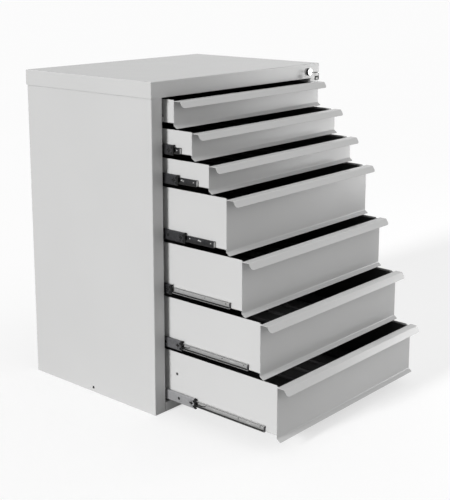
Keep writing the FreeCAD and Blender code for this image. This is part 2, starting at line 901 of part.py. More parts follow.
def slide_tray(label, face):
    """Black tray that fills the box, with low dividers between the rows of slides."""
    body = new_body(label)
    sheet = size("box_sheet")
    clearance = size("tray_clearance")
    half = BOX_HALF_WIDTH - sheet * 2 - clearance
    start = size("front_sheet") + sheet + clearance
    length = BOX_END - sheet - clearance - start
    floor = sheet
    height = wall_height(face) - size("hem_step") - size("tray_top_gap") - floor
    wall = size("tray_wall")
    block = new_sketch(body, "XZ", at=start)
    add_rectangle(block, -half, floor, half, floor + height)
    extrude(block, length)
    hollow = new_sketch(body, "XY", at=floor + wall)
    add_rectangle(hollow, -half + wall, start + wall, half - wall, start + length - wall)
    cut(hollow, height - wall, towards=1)
    divider = new_body(f"{label}_divider")
    plan = new_sketch(divider, "XY", at=floor + wall)
    add_rectangle(plan, -wall / 2, start + wall, wall / 2, start + length - wall)
    extrude(plan, size("row_rib_height"))
    pieces = [body]
    for gap in range(1, TRAY_ROWS):
        centre = size("row_pitch") * (gap - TRAY_ROWS / 2)
        pieces.append(gather(f"{label}_divider_{gap}", [divider], x=centre))
    return gather(f"{label}_with_dividers", pieces)


def drawers():
    masters = {}
    for depth, face in (("shallow", size("shallow_face")), ("deep", size("deep_face"))):
        masters[depth] = {
            "drawer_front": drawer_front(f"{depth}_front", face),
            "drawer_box": drawer_box(f"{depth}_box", face),
            "slide_tray": slide_tray(f"{depth}_tray", face),
        }
    nodes = []
    for drawer in range(1, DRAWERS + 1):
        depth = "shallow" if is_shallow(drawer) else "deep"
        y = -HALF_DEPTH - drawer_opening(drawer)
        for name, master in masters[depth].items():
            nodes.append(gather(f"{name}_{drawer}", [master], y=y, z=wall_bottom(drawer)))
    return nodes


# ---------------------------------------------------------------- lock
# The lock's pieces are drawn about its axis, which runs along Y through the cover's front flange.


def lock_barrel():
    body = new_body("lock_barrel", LOCK_X, -HALF_DEPTH, LOCK_Z)
    inner = size("plug_diameter") / 2 + size("lock_clearance")
    outer = size("barrel_diameter") / 2
    rosette = size("rosette_diameter") / 2
    half_section = new_sketch(body, "YZ")
    nose = -size("barrel_nose")
    add_polygon(half_section, [
        (nose, inner),
        (nose, rosette),
        (ZERO, rosette),
        (ZERO, outer),
        (size("barrel_tail"), outer),
        (size("barrel_tail"), inner),
    ])
    turn = body.newObject("PartDesign::Revolution", "Revolution")
    turn.Profile = half_section
    turn.ReferenceAxis = (half_section, ["H_Axis"])
    turn.Angle = FULL_TURN
    return body


def lock_nut():
    body = new_body("lock_nut", LOCK_X, -HALF_DEPTH, LOCK_Z)
    start = size("cover_sheet")
    plate = new_sketch(body, "XZ", at=start)
    half = size("nut_width") / 2
    flat = size("nut_flat") / 2
    add_polygon(plate, [
        (-half, -flat), (-flat, -half), (flat, -half), (half, -flat),
        (half, flat), (flat, half), (-flat, half), (-half, flat),
    ])
    add_circle(plate, ZERO, ZERO, size("barrel_diameter"))
    extrude(plate, size("nut_thickness"))
    return body


def lock_plug():
    """Turning core of the lock, with the keyway in its face."""
    body = new_body("lock_plug", LOCK_X, -HALF_DEPTH, LOCK_Z)
    core = new_sketch(body, "XZ", at=-size("barrel_nose"))
    add_circle(core, ZERO, ZERO, size("plug_diameter"))
    extrude(core, size("barrel_nose") + size("barrel_tail"))
    keyway = new_sketch(body, "XZ", at=-size("barrel_nose"))
    half_width = size("key_width") / 2 + size("lock_clearance")
    half_height = size("key_sheet") / 2 + size("lock_clearance")
    add_rectangle(keyway, -half_width, -half_height, half_width, half_height)
    cut(keyway, size("key_engagement"))
    return body


def lock_cam():
    """Arm behind the plug; its pin works in the locking bar's slot."""
    body = new_body("lock_cam", LOCK_X, -HALF_DEPTH, LOCK_Z)
    start = size("barrel_tail")
    half = size("cam_width") / 2
    reach = CAM_THROW + half
    plate = new_sketch(body, "XZ", at=start)
    add_polygon(plate, [
        (-half, -half), (ZERO, -reach), (reach, -reach), (reach, ZERO), (half, half), (-half, half),
    ])
    extrude(plate, size("cam_thickness"))
    pin = new_sketch(body, "XZ", at=start + size("cam_thickness"))
    add_circle(pin, CAM_THROW, -CAM_THROW, size("cam_pin"))
    extrude(pin, BAR_FACE + size("bar_sheet") - start - size("cam_thickness"))
    return body


def finger_level(drawer):
    """Height of the underside of a bar finger while the cabinet is unlocked."""
    return wall_bottom(drawer) + size("lug_level") - size("finger_gap") - size("finger_height")


def bar_strip(bottom, top):
    """The bar itself, a flat strip behind the right stile, slotted for its two guide studs."""
    body = new_body("bar_strip")
    at = BAR_FACE - HALF_DEPTH
    strip = new_sketch(body, "XZ", at=at)
    add_rectangle(strip, BAR_EDGE, bottom, BAR_EDGE + size("bar_width"), top)
    extrude(strip, size("bar_sheet"))
    slots = new_sketch(body, "XZ", at=at)
    centre = BAR_EDGE + size("bar_width") / 2
    half = size("stud_diameter") / 2 + size("lock_clearance")
    for name in ("lower_stud_height", "upper_stud_height"):
        stud = size(name)
        add_rectangle(slots, centre - half, stud - half - size("bar_lift"), centre + half, stud + half)
    cut(slots, size("bar_sheet"))
    return body


def bar_tongue(pin_z, half_height):
    """Plate welded to the top of the bar, with the slot that the cam's pin works in."""
    body = new_body("bar_tongue")
    at = BAR_FACE - HALF_DEPTH
    pin_x = LOCK_X + CAM_THROW
    plate = new_sketch(body, "XZ", at=at)
    add_rectangle(plate, LOCK_X, pin_z - half_height, BAR_EDGE, pin_z + half_height)
    extrude(plate, size("bar_sheet"))
    slot = new_sketch(body, "XZ", at=at)
    play = size("cam_pin") / 2 + size("lock_clearance")
    swing = CAM_THROW * QUARTER_TURN_BULGE
    add_rectangle(slot, pin_x - play, pin_z - play, pin_x + swing + play, pin_z + play)
    cut(slot, size("bar_sheet"))
    return body


def bar_finger():
    """Stop welded to the bar's inner edge, drawn at the level z = 0."""
    body = new_body("bar_finger")
    outline = new_sketch(body, "XZ", at=BAR_FACE - HALF_DEPTH)
    add_rectangle(outline, BAR_EDGE - size("bar_finger"), ZERO, BAR_EDGE, size("finger_height"))
    extrude(outline, size("bar_sheet"))
    return body


def locking_bar():
    """Bar with one finger per drawer and a slotted tongue, lifted by the cam to hold every drawer shut."""
    pin_z = LOCK_Z - CAM_THROW
    half_height = size("finger_height") + size("lock_clearance")
    bottom = finger_level(DRAWERS) - size("bar_foot")
    finger = bar_finger()
    pieces = [bar_strip(bottom, pin_z + half_height), bar_tongue(pin_z, half_height)]
    for drawer in range(1, DRAWERS + 1):
        pieces.append(gather(f"bar_finger_{drawer}", [finger], z=finger_level(drawer)))
    return gather("locking_bar", pieces)


def bow_centre():
    """Distance of the bow's centre in front of the cover's flange."""
    return size("barrel_nose") + size("key_stem") + size("bow_diameter") / 2


def ring_centre():
    """Distance of the ring's plane centre in front of the flange: inside the rim of the bow's hole."""
    return bow_centre() + size("bow_diameter") / 2 - size("bow_rim") / 2


def key():
    body = new_body("key", LOCK_X, -HALF_DEPTH, LOCK_Z)
    thickness = size("key_sheet")
    half = size("key_width") / 2
    blade = new_sketch(body, "XY")
    tip = size("key_engagement") - size("barrel_nose") - size("lock_clearance")
    add_polygon(blade, [
        (-half, -bow_centre()), (half, -bow_centre()), (half, tip - half), (ZERO, tip), (-half, tip - half),
    ])
    extrude(blade, thickness, midplane=True)
    bow = new_sketch(body, "XY")
    add_circle(bow, ZERO, -bow_centre(), size("bow_diameter"))
    extrude(bow, thickness, midplane=True)
    hole = new_sketch(body, "XY")
    hole_y = bow_centre() + size("bow_diameter") / 2 - size("bow_rim") - size("bow_hole") / 2
    add_circle(hole, ZERO, -hole_y, size("bow_hole"))
    cut(hole, thickness * 2, midplane=True)
    return body


def ring_drop():
    """Distance of the ring's centre below the lock's axis, hanging on the bow's rim."""
    inner = size("ring_radius") - size("ring_wire") / 2
    return inner - size("key_sheet") / 2 - size("lock_clearance")


def key_ring():
    """Ring of square wire, hanging in the plane across the cabinet's depth."""
    body = new_body("key_ring", LOCK_X, -HALF_DEPTH - ring_centre(), LOCK_Z - ring_drop())
    wire = new_sketch(body, "XY")
    half = size("ring_wire") / 2
    add_rectangle(wire, -half, size("ring_radius") - half, half, size("ring_radius") + half)
    turn = body.newObject("PartDesign::Revolution", "Revolution")
    turn.Profile = wire
    turn.ReferenceAxis = (wire, ["H_Axis"])
    turn.Angle = FULL_TURN
    return body


def spare_key():
    """Folding spare key: a flat plastic head that hangs on the ring with its blade folded in."""
    ring_low = LOCK_Z - ring_drop() - size("ring_radius") + size("ring_wire") / 2
    hole_z = ring_low + size("lock_clearance") * 2 - size("fob_hole") / 2
    body = new_body("spare_key", LOCK_X, -HALF_DEPTH - ring_centre(), hole_z)
    top = size("fob_hole") / 2 + size("fob_rim")
    bottom = top - size("fob_height")
    half = size("fob_width") / 2
    nick = size("fob_rim")
    head = new_sketch(body, "XZ")
    add_polygon(head, [
        (-half, bottom + nick), (-half + nick, bottom), (half - nick, bottom), (half, bottom + nick),
        (half, top - nick), (half - nick, top), (-half + nick, top), (-half, top - nick),
    ])
    add_circle(head, ZERO, ZERO, size("fob_hole"))
    extrude(head, size("fob_thickness"), midplane=True)
    return body


# ---------------------------------------------------------------- the whole cabinet


def build():
    fill_sheet()
    nodes = [
        top_cover(),
        side_panel(-1),
        side_panel(1),
        back_panel(),
        base_tray(),
    ]
    nodes += uprights()
    nodes += [cabinet_runners()]
    nodes += drawer_runners()
    nodes += drawers()
    nodes += [
        lock_barrel(),
        lock_nut(),
        lock_plug(),
        lock_cam(),
        locking_bar(),
        key(),
        key_ring(),
        spare_key(),
    ]
    DOC.recompute()
    return nodes


def check(nodes):
    for item in DOC.Objects:
        if "Invalid" in item.State or "Error" in item.State:
            raise RuntimeError(f"{item.Name} ({item.Label}) failed: {item.State}")
    for node in nodes:
        if node.Shape.isNull() or not node.Shape.isValid():
            raise RuntimeError(f"{node.Label} has no valid shape")


def export(nodes):
    os.makedirs("parts", exist_ok=True)
    for node in nodes:
        node.Shape.exportStep(f"parts/{node.Label}.step")


NODES = build()
check(NODES)
export(NODES)
print(f"{len(NODES)} nodes, {sum(len(node.Shape.Solids) for node in NODES)} solids")
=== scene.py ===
"""Looks of a microscope slide cabinet: painted sheet steel, seven drawers on ball runners, central lock.

Lengths are metres. X runs to the right of someone facing the drawers, +Y to the back and +Z up.
"""
import logging
import math
from collections.abc import Sequence
from dataclasses import dataclass
from enum import Enum

import bmesh
import bpy
import numpy as np
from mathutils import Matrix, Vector
from mathutils.geometry import delaunay_2d_cdt


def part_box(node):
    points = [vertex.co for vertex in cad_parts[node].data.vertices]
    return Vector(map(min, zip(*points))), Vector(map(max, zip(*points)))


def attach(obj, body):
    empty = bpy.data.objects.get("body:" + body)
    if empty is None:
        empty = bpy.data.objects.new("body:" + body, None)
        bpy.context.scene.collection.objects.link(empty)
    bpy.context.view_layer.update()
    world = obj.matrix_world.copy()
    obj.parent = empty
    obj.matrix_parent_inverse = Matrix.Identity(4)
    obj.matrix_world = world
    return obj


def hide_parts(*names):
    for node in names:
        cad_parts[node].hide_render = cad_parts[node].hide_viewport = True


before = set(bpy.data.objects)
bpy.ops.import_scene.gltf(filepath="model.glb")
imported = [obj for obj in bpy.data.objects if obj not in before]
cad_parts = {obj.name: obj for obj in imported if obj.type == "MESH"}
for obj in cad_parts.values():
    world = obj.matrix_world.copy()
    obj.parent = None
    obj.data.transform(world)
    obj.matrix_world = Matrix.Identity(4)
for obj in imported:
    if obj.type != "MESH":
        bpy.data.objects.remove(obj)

LOG = logging.getLogger("slide_cabinet")
MM = 0.001
DRAWERS = range(1, 8)
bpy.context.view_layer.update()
Corner = tuple[float, float]
Place = tuple[float, float, float]
Colour = tuple[float, float, float]


class Slot(Enum):
    """Material slots of the record."""

    PAINT = "grey_powder_coat"
    ZINC = "zinc_steel"
    DARK_ZINC = "dark_zinc"
    CHROME = "chrome"
    PLASTIC = "black_plastic"


class Along(Enum):
    """Axis that a section is carried along; the value orders (u, v, carried) into x, y, z."""

    X = (2, 0, 1)
    Y = (0, 2, 1)
    Z = (0, 1, 2)


# ---------------------------------------------------------------- surfaces


@dataclass
class Shell:
    """One closed surface.

    Args:
        points: vertex places, one row each.
        faces: vertex indices of each face.
    """

    points: np.ndarray
    faces: list[Sequence[int]]


def placed(section: np.ndarray, carried: np.ndarray, along: Along) -> np.ndarray:
    """Points of a section at given places along an axis.

    Args:
        section: (n, 2) coordinates across the axis.
        carried: (n,) coordinates along the axis.
        along: the axis.

    Returns:
        (n, 3) points.
    """
    return np.column_stack([section, carried])[:, along.value]


def folded_path(
    corners: Sequence[Corner], thickness: float, inner_radius: Sequence[float], steps: int = 6
) -> tuple[np.ndarray, np.ndarray]:
    """Right-hand line of a folded sheet, with each corner turned into an arc.

    An arc's centre lies on the inside of the turn. Its radius on the right-hand line is the inner radius,
    plus the thickness where the sheet turns left. The left-hand line is the right one plus the thickness
    times the left normal.

    Args:
        corners: open path through the sharp corners.
        thickness: sheet thickness, to the left of the path.
        inner_radius: inner bend radius of each inner corner.
        steps: facets in each arc.

    Returns:
        Points and unit left normals, (n, 2) each.
    """
    path = np.asarray(corners, dtype=float)
    runs = np.diff(path, axis=0)
    runs /= np.linalg.norm(runs, axis=1)[:, None]
    left = np.column_stack([-runs[:, 1], runs[:, 0]])
    points, normals = [path[:1]], [left[:1]]
    for index, bend in enumerate(inner_radius, start=1):
        before, after = runs[index - 1], runs[index]
        turn = math.atan2(before[0] * after[1] - before[1] * after[0], float(before @ after))
        sense = math.copysign(1.0, turn)
        radius = bend + thickness if turn > 0 else bend
        start = path[index] - before * radius * math.tan(abs(turn) / 2)
        centre = start + left[index - 1] * radius * sense
        angles = np.linspace(0.0, turn, steps + 1)
        swung = np.column_stack([
            left[index - 1][0] * np.cos(angles) - left[index - 1][1] * np.sin(angles),
            left[index - 1][0] * np.sin(angles) + left[index - 1][1] * np.cos(angles),
        ])
        points.append(centre - swung * radius * sense)
        normals.append(swung)
    points.append(path[-1:])
    normals.append(left[-1:])
    line, across = np.concatenate(points), np.concatenate(normals)
    keep = np.append(True, np.linalg.norm(np.diff(line, axis=0), axis=1) > 1e-7)
    return line[keep], across[keep]


def sheet_shell(
    line: np.ndarray,
    normals: np.ndarray,
    thickness: float,
    low: np.ndarray | float,
    high: np.ndarray | float,
    along: Along,
) -> Shell:
    """A folded sheet carried along an axis: S(u, v) = line(u) + thickness * normal(u), for v from low to high.

    Args:
        line: right-hand line of the section.
        normals: its left normals.
        thickness: sheet thickness.
        low: start along the axis, one value or one for each point of the line.
        high: end along the axis, in the same way.
        along: the axis.

    Returns:
        The closed shell.
    """
    count = len(line)
    start, end = np.broadcast_to(low, count), np.broadcast_to(high, count)
    other = line + normals * thickness
    points = np.concatenate([
        placed(line, start, along), placed(line, end, along), placed(other, start, along), placed(other, end, along),
    ])
    i = np.arange(count - 1)
    n = count
    quads = np.concatenate([
        np.column_stack([i, i + 1, n + i + 1, n + i]),
        np.column_stack([2 * n + i, 3 * n + i, 3 * n + i + 1, 2 * n + i + 1]),
        np.column_stack([i, 2 * n + i, 2 * n + i + 1, i + 1]),
        np.column_stack([n + i, n + i + 1, 3 * n + i + 1, 3 * n + i]),
        np.array([[0, n, 3 * n, 2 * n], [n - 1, 3 * n - 1, 4 * n - 1, 2 * n - 1]]),
    ])
    return Shell(points, quads.tolist())


def inside_loop(points: np.ndarray, loop: np.ndarray) -> np.ndarray:
    """Which points a loop holds: those from which a line to the right crosses it an odd number of times.

    Args:
        points: (n, 2) points.
        loop: (m, 2) corners of the loop.

    Returns:
        n truth values.
    """
    first, second = loop, np.roll(loop, -1, axis=0)
    across, up = points[:, 0][:, None], points[:, 1][:, None]
    spans = (first[:, 1] > up) != (second[:, 1] > up)
    rise = np.where(first[:, 1] == second[:, 1], 1.0, second[:, 1] - first[:, 1])
    meets = first[:, 0] + (up - first[:, 1]) * (second[:, 0] - first[:, 0]) / rise
    return np.count_nonzero(spans & (across < meets), axis=1) % 2 == 1


def plate_shell(outline: np.ndarray, holes: Sequence[np.ndarray], low: float, high: float, along: Along) -> Shell:
    """A flat plate with holes: the outline's triangles at two levels, joined by walls round every loop.

    Args:
        outline: (n, 2) outer loop.
        holes: loops of the holes, inside the outline.
        low: level of one face.
        high: level of the other face.
        along: axis across the plate.

    Returns:
        The closed shell.
    """
    loops = [outline, *holes]
    starts = np.cumsum([0] + [len(loop) for loop in loops])
    edges = [
        (int(first) + step, int(first) + (step + 1) % len(loop))
        for first, loop in zip(starts, loops)
        for step in range(len(loop))
    ]
    flat = [Vector(point) for point in np.concatenate(loops).tolist()]
    made, _, triangles, origins, _, _ = delaunay_2d_cdt(flat, edges, [], 1, 1e-7)
    where = {given: index for index, source in enumerate(origins) for given in source}
    section = np.array([tuple(point) for point in made])
    middles = section[np.array(triangles)].mean(axis=1)
    open_here = np.zeros(len(triangles), dtype=bool)
    for loop in holes:
        open_here |= inside_loop(middles, loop)
    triangles = [face for face, is_open in zip(triangles, open_here) if not is_open]
    count = len(section)
    points = np.concatenate([
        placed(section, np.full(count, low), along),
        placed(section, np.full(count, high), along),
    ])
    faces: list[Sequence[int]] = [list(face) for face in triangles]
    faces += [[corner + count for corner in reversed(face)] for face in triangles]
    faces += [[where[a], where[b], where[b] + count, where[a] + count] for a, b in edges]
    return Shell(points, faces)


def rounded_loop(low: Corner, high: Corner, radius: float, steps: int = 5) -> np.ndarray:
    """Rectangle with round corners: four quarter circles about the inset corners, joined by straight runs.

    Args:
        low: lowest corner.
        high: highest corner.
        radius: corner radius.
        steps: facets in each corner.

    Returns:
        (4 * (steps + 1), 2) loop, anticlockwise.
    """
    quarter = np.linspace(0.0, math.pi / 2, steps + 1)
    centres = np.array([
        [high[0] - radius, high[1] - radius], [low[0] + radius, high[1] - radius],
        [low[0] + radius, low[1] + radius], [high[0] - radius, low[1] + radius],
    ])
    angles = quarter[None, :] + (np.arange(4) * math.pi / 2)[:, None]
    circle = np.stack([np.cos(angles), np.sin(angles)], axis=-1) * radius
    return (centres[:, None, :] + circle).reshape(-1, 2)


def ring_loop(centre: Corner, radius: float, steps: int = 20) -> np.ndarray:
    """Circle as a loop: centre + radius * (cos a, sin a)."""
    angles = np.arange(steps) * 2 * math.pi / steps
    return np.column_stack([centre[0] + radius * np.cos(angles), centre[1] + radius * np.sin(angles)])


def prism(loop: np.ndarray, low: float, high: float, along: Along) -> Shell:
    """A loop carried straight between two levels, with a face on each end.

    Args:
        loop: (n, 2) corners across the axis.
        low: first level.
        high: second level.
        along: the axis.

    Returns:
        The closed shell.
    """
    count = len(loop)
    points = np.concatenate([
        placed(loop, np.full(count, low), along), placed(loop, np.full(count, high), along),
    ])
    i = np.arange(count)
    j = (i + 1) % count
    faces: list[Sequence[int]] = np.column_stack([i, j, j + count, i + count]).tolist()
    faces += [i[::-1].tolist(), (i + count).tolist()]
    return Shell(points, faces)


def lathe(profile: Sequence[Corner], centre: Place, along: Along, steps: int = 40, closed: bool = False) -> Shell:
    """A turned shape: P(u, v) = centre + r(u) * (cos v, sin v) across the axis, and h(u) along it.

    Args:
        profile: (radius, height) pairs; an open profile starts and ends on the axis.
        centre: point on the axis at height zero.
        along: the axis.
        steps: facets round the axis.
        closed: True where the profile is a loop off the axis, as on a ring.

    Returns:
        The closed shell.
    """
    line = np.asarray(profile, dtype=float)
    body = line if closed else line[1:-1]
    angles = np.arange(steps) * 2 * math.pi / steps
    circle = np.column_stack([np.cos(angles), np.sin(angles)])
    section = (body[:, None, :1] * circle[None]).reshape(-1, 2)
    heights = np.repeat(body[:, 1], steps)
    points = placed(section, heights, along)
    rows = len(body)
    row = np.arange(rows if closed else rows - 1)
    r, c = np.meshgrid(row, np.arange(steps), indexing="ij")
    r, c = r.ravel(), c.ravel()
    below, above = r * steps, (r + 1) % rows * steps
    following = (c + 1) % steps
    quads = np.column_stack([below + c, below + following, above + following, above + c])
    faces: list[Sequence[int]] = quads.tolist()
    if not closed:
        poles = placed(np.zeros((2, 2)), line[[0, -1], 1], along)
        first, last = len(points), len(points) + 1
        points = np.concatenate([points, poles])
        around = np.arange(steps)
        onward = (around + 1) % steps
        top = (rows - 1) * steps
        faces += np.column_stack([np.full(steps, first), onward, around]).tolist()
        faces += np.column_stack([np.full(steps, last), around + top, onward + top]).tolist()
    return Shell(points + np.asarray(centre), faces)


def bent_rod(path: np.ndarray, radius: np.ndarray | float, sides: int = 10, flat: float = 1.0) -> Shell:
    """A rod along a path: R(u, v) = path(u) + radius(u) * (cos v * side(u) + flat * sin v * x axis).

    Args:
        path: (n, 3) centre line, lying in a plane across X.
        radius: rod radius, one value or one for each point.
        sides: facets round the rod.
        flat: thickness along X over that in the path's plane.

    Returns:
        The closed shell.
    """
    count = len(path)
    radii = np.broadcast_to(radius, count)
    tangent = np.gradient(path, axis=0)
    tangent /= np.linalg.norm(tangent, axis=1)[:, None]
    axis = np.array([1.0, 0.0, 0.0])
    side = np.cross(tangent, axis)
    side /= np.linalg.norm(side, axis=1)[:, None]
    angles = np.arange(sides) * 2 * math.pi / sides
    offset = side[:, None] * np.cos(angles)[None, :, None] + axis * flat * np.sin(angles)[None, :, None]
    points = (path[:, None] + offset * radii[:, None, None]).reshape(-1, 3)
    r, c = np.meshgrid(np.arange(count - 1), np.arange(sides), indexing="ij")
    r, c = r.ravel() * sides, c.ravel()
    following = (c + 1) % sides
    quads = np.column_stack([r + c, r + following, r + sides + following, r + sides + c])
    faces: list[Sequence[int]] = quads.tolist()
    faces += [list(range(sides)), list(range((count - 1) * sides, count * sides))]
    return Shell(points, faces)


def mirrored(shells: Sequence[Shell]) -> list[Shell]:
    """The same shells on the other side of the cabinet's middle plane, x to -x."""
    return [Shell(shell.points * np.array([-1.0, 1.0, 1.0]), shell.faces) for shell in shells]


def both_sides(shells: Sequence[Shell]) -> list[Shell]:
    """Shells of the right side together with their mirror images."""
    return [*shells, *mirrored(shells)]


# ---------------------------------------------------------------- materials


class Nodes:
    """A node tree that is built in order, with short calls for nodes and links."""

    def __init__(self, tree: bpy.types.NodeTree) -> None:
        """Keep the tree that the nodes go into."""
        self.tree = tree

    def add(self, kind: str, **values: object) -> bpy.types.Node:
        """Make a node.

        Args:
            kind: node type.
            values: properties of the node, or its inputs by name with blanks as underscores.

        Returns:
            The node.
        """
        node = self.tree.nodes.new(kind)
        for name, value in values.items():
            if hasattr(node, name):
                setattr(node, name, value)
                continue
            socket = node.inputs[name.replace("_", " ")]
            if isinstance(value, bpy.types.NodeSocket):
                self.tree.links.new(value, socket)
            else:
                socket.default_value = value
        return node

    def link(self, source: bpy.types.NodeSocket, target: bpy.types.NodeSocket) -> None:
        """Join two sockets."""
        self.tree.links.new(source, target)

    def mix(
        self, factor: bpy.types.NodeSocket, first: Colour | bpy.types.NodeSocket, second: Colour
    ) -> bpy.types.NodeSocket:
        """Colour between two others.

        Args:
            factor: 0 for the first colour and 1 for the second.
            first: linear colour, or a colour socket.
            second: linear colour.

        Returns:
            The colour socket.
        """
        node = self.tree.nodes.new("ShaderNodeMix")
        node.data_type = "RGBA"
        self.link(factor, node.inputs["Factor"])
        # Only the sockets of the chosen data type are enabled.
        _, one, other = (socket for socket in node.inputs if socket.enabled)
        if isinstance(first, bpy.types.NodeSocket):
            self.link(first, one)
        else:
            one.default_value = (*first, 1.0)
        other.default_value = (*second, 1.0)
        return next(socket for socket in node.outputs if socket.enabled)

    def between(
        self, value: bpy.types.NodeSocket, low: float, high: float, source: Corner = (0.0, 1.0)
    ) -> bpy.types.NodeSocket:
        """A value stretched to run from low to high.

        Args:
            value: the value.
            low: result at the start of the source's range.
            high: result at its end.
            source: range that the value has.

        Returns:
            The value socket.
        """
        start, end = source
        node = self.add("ShaderNodeMapRange", Value=value, From_Min=start, From_Max=end, To_Min=low, To_Max=high)
        return node.outputs["Result"]

    def product(
        self, first: bpy.types.NodeSocket, second: bpy.types.NodeSocket, clamp: bool = False
    ) -> bpy.types.NodeSocket:
        """Product of two values.

        Args:
            first: one value.
            second: the other value.
            clamp: True to keep the product between 0 and 1.

        Returns:
            The value socket.
        """
        node = self.add("ShaderNodeMath", operation="MULTIPLY", use_clamp=clamp)
        self.link(first, node.inputs[0])
        self.link(second, node.inputs[1])
        return node.outputs[0]

    def two_shaders(self, lighting: bpy.types.NodeSocket, shown: bpy.types.NodeSocket) -> bpy.types.NodeSocket:
        """One shader for the light that a surface sends on, and another for how it is shown.

        Args:
            lighting: shader for every ray but the first.
            shown: shader for the first ray.

        Returns:
            The shader socket.
        """
        path = self.add("ShaderNodeLightPath")
        chosen = self.add("ShaderNodeMixShader", Fac=path.outputs["Is Camera Ray"])
        self.link(lighting, chosen.inputs[1])
        self.link(shown, chosen.inputs[2])
        return chosen.outputs[0]


class Effect:
    """A shader node group with named inputs and outputs, built once and shared."""

    def __init__(self, name: str, inputs: dict[str, float], outputs: Sequence[str]) -> None:
        """Open the group.

        Args:
            name: group name.
            inputs: float inputs with their usual values; a vector input named Vector is always there.
            outputs: names of the float outputs.
        """
        self.group = bpy.data.node_groups.new(name, "ShaderNodeTree")
        face = self.group.interface
        face.new_socket("Vector", in_out="INPUT", socket_type="NodeSocketVector")
        for label, value in inputs.items():
            socket = face.new_socket(label, in_out="INPUT", socket_type="NodeSocketFloat")
            socket.default_value = value
        for label in outputs:
            face.new_socket(label, in_out="OUTPUT", socket_type="NodeSocketFloat")
        self.nodes = Nodes(self.group)
        self.given = self.nodes.add("NodeGroupInput").outputs
        self.result = self.nodes.add("NodeGroupOutput").inputs

    def put(self, nodes: Nodes, vector: bpy.types.NodeSocket, **values: float) -> bpy.types.bpy_prop_collection:
        """Place the group in a material.

        Args:
            nodes: the material's nodes.
            vector: coordinates for the group.
            values: the group's inputs, with blanks as underscores.

        Returns:
            The group's outputs.
        """
        node = nodes.tree.nodes.new("ShaderNodeGroup")
        node.node_tree = self.group
        nodes.link(vector, node.inputs["Vector"])
        for label, value in values.items():
            node.inputs[label.replace("_", " ")].default_value = value
        return node.outputs


def powder_texture() -> Effect:
    """Powder coat: a fine orange-peel height, and a soft cloudiness from the spray.

    Returns:
        The effect, with outputs for the height, the colour's cloud and the gloss.
    """
    effect = Effect("powder_texture", {"Peel scale": 900.0, "Cloud scale": 3.0}, ["Height", "Cloud", "Sheen"])
    nodes, given = effect.nodes, effect.given
    peel = nodes.add("ShaderNodeTexNoise", Vector=given["Vector"], Scale=given["Peel scale"], Detail=1.5)
    speck = nodes.add(
        "ShaderNodeTexVoronoi", Vector=given["Vector"], Scale=given["Peel scale"], feature="SMOOTH_F1",
    )
    height = nodes.add("ShaderNodeMath", operation="MULTIPLY_ADD")
    nodes.link(speck.outputs["Distance"], height.inputs[0])
    height.inputs[1].default_value = 0.5
    nodes.link(peel.outputs[0], height.inputs[2])
    cloud = nodes.add("ShaderNodeTexNoise", Vector=given["Vector"], Scale=given["Cloud scale"], Detail=3.0)
    sheen = nodes.add(
        "ShaderNodeTexNoise", Vector=given["Vector"], Scale=given["Cloud scale"], Detail=5.0, Distortion=0.6,
    )
    nodes.link(height.outputs[0], effect.result["Height"])
    nodes.link(cloud.outputs[0], effect.result["Cloud"])
    nodes.link(sheen.outputs[0], effect.result["Sheen"])
    return effect


def sheet_waves() -> Effect:
    """Slow waves that a large thin sheet keeps from rolling and folding.

    Returns:
        The effect, with an output for the height.
    """
    effect = Effect("sheet_waves", {"Wave scale": 2.2}, ["Height"])
    nodes, given = effect.nodes, effect.given
    waves = nodes.add("ShaderNodeTexNoise", Vector=given["Vector"], Scale=given["Wave scale"], Detail=1.0)
    nodes.link(waves.outputs[0], effect.result["Height"])
    return effect


def rolled_grain() -> Effect:
    """Fine lines along Y from rolling, with blotches from the plating bath.

    Returns:
        The effect, with outputs for the lines and the blotches.
    """
    effect = Effect("rolled_grain", {"Line scale": 700.0, "Blotch scale": 60.0}, ["Lines", "Blotch"])
    nodes, given = effect.nodes, effect.given
    stretch = nodes.add("ShaderNodeMapping", Vector=given["Vector"], Scale=(1.0, 0.02, 1.0))
    lines = nodes.add("ShaderNodeTexNoise", Vector=stretch.outputs[0], Scale=given["Line scale"], Detail=2.0)
    blotch = nodes.add(
        "ShaderNodeTexNoise", Vector=given["Vector"], Scale=given["Blotch scale"], Detail=4.0, Distortion=0.8,
    )
    nodes.link(lines.outputs[0], effect.result["Lines"])
    nodes.link(blotch.outputs[0], effect.result["Blotch"])
    return effect


def fine_dust() -> Effect:
    """Faint dust in patches, stronger where the surface faces up.

    Returns:
        The effect, with an output for the dust's share.
    """
    effect = Effect("fine_dust", {"Up": 0.0, "Amount": 0.3}, ["Mask"])
    nodes, given = effect.nodes, effect.given
    patches = nodes.add("ShaderNodeTexNoise", Vector=given["Vector"], Scale=25.0, Detail=6.0)
    upward = nodes.product(given["Up"], patches.outputs[0], clamp=True)
    nodes.link(nodes.product(upward, given["Amount"], clamp=True), effect.result["Mask"])
    return effect


@dataclass(frozen=True)
class Effects:
    """The shared effects."""

    powder: Effect
    waves: Effect
    grain: Effect
    dust: Effect


def start_material(name: str, metallic: float, **shader: float) -> tuple[bpy.types.Material, Nodes, bpy.types.Node]:
    """A material with its Principled shader.

    Args:
        name: material name.
        metallic: value of the shader's Metallic.
        shader: other constant inputs, with blanks as underscores.

    Returns:
        Material, its nodes and the shader.
    """
    material = bpy.data.materials.new(name)
    material.use_nodes = True
    nodes = Nodes(material.node_tree)
    principled = material.node_tree.nodes["Principled BSDF"]
    principled.inputs["Metallic"].default_value = metallic
    for label, value in shader.items():
        principled.inputs[label.replace("_", " ")].default_value = value
    return material, nodes, principled


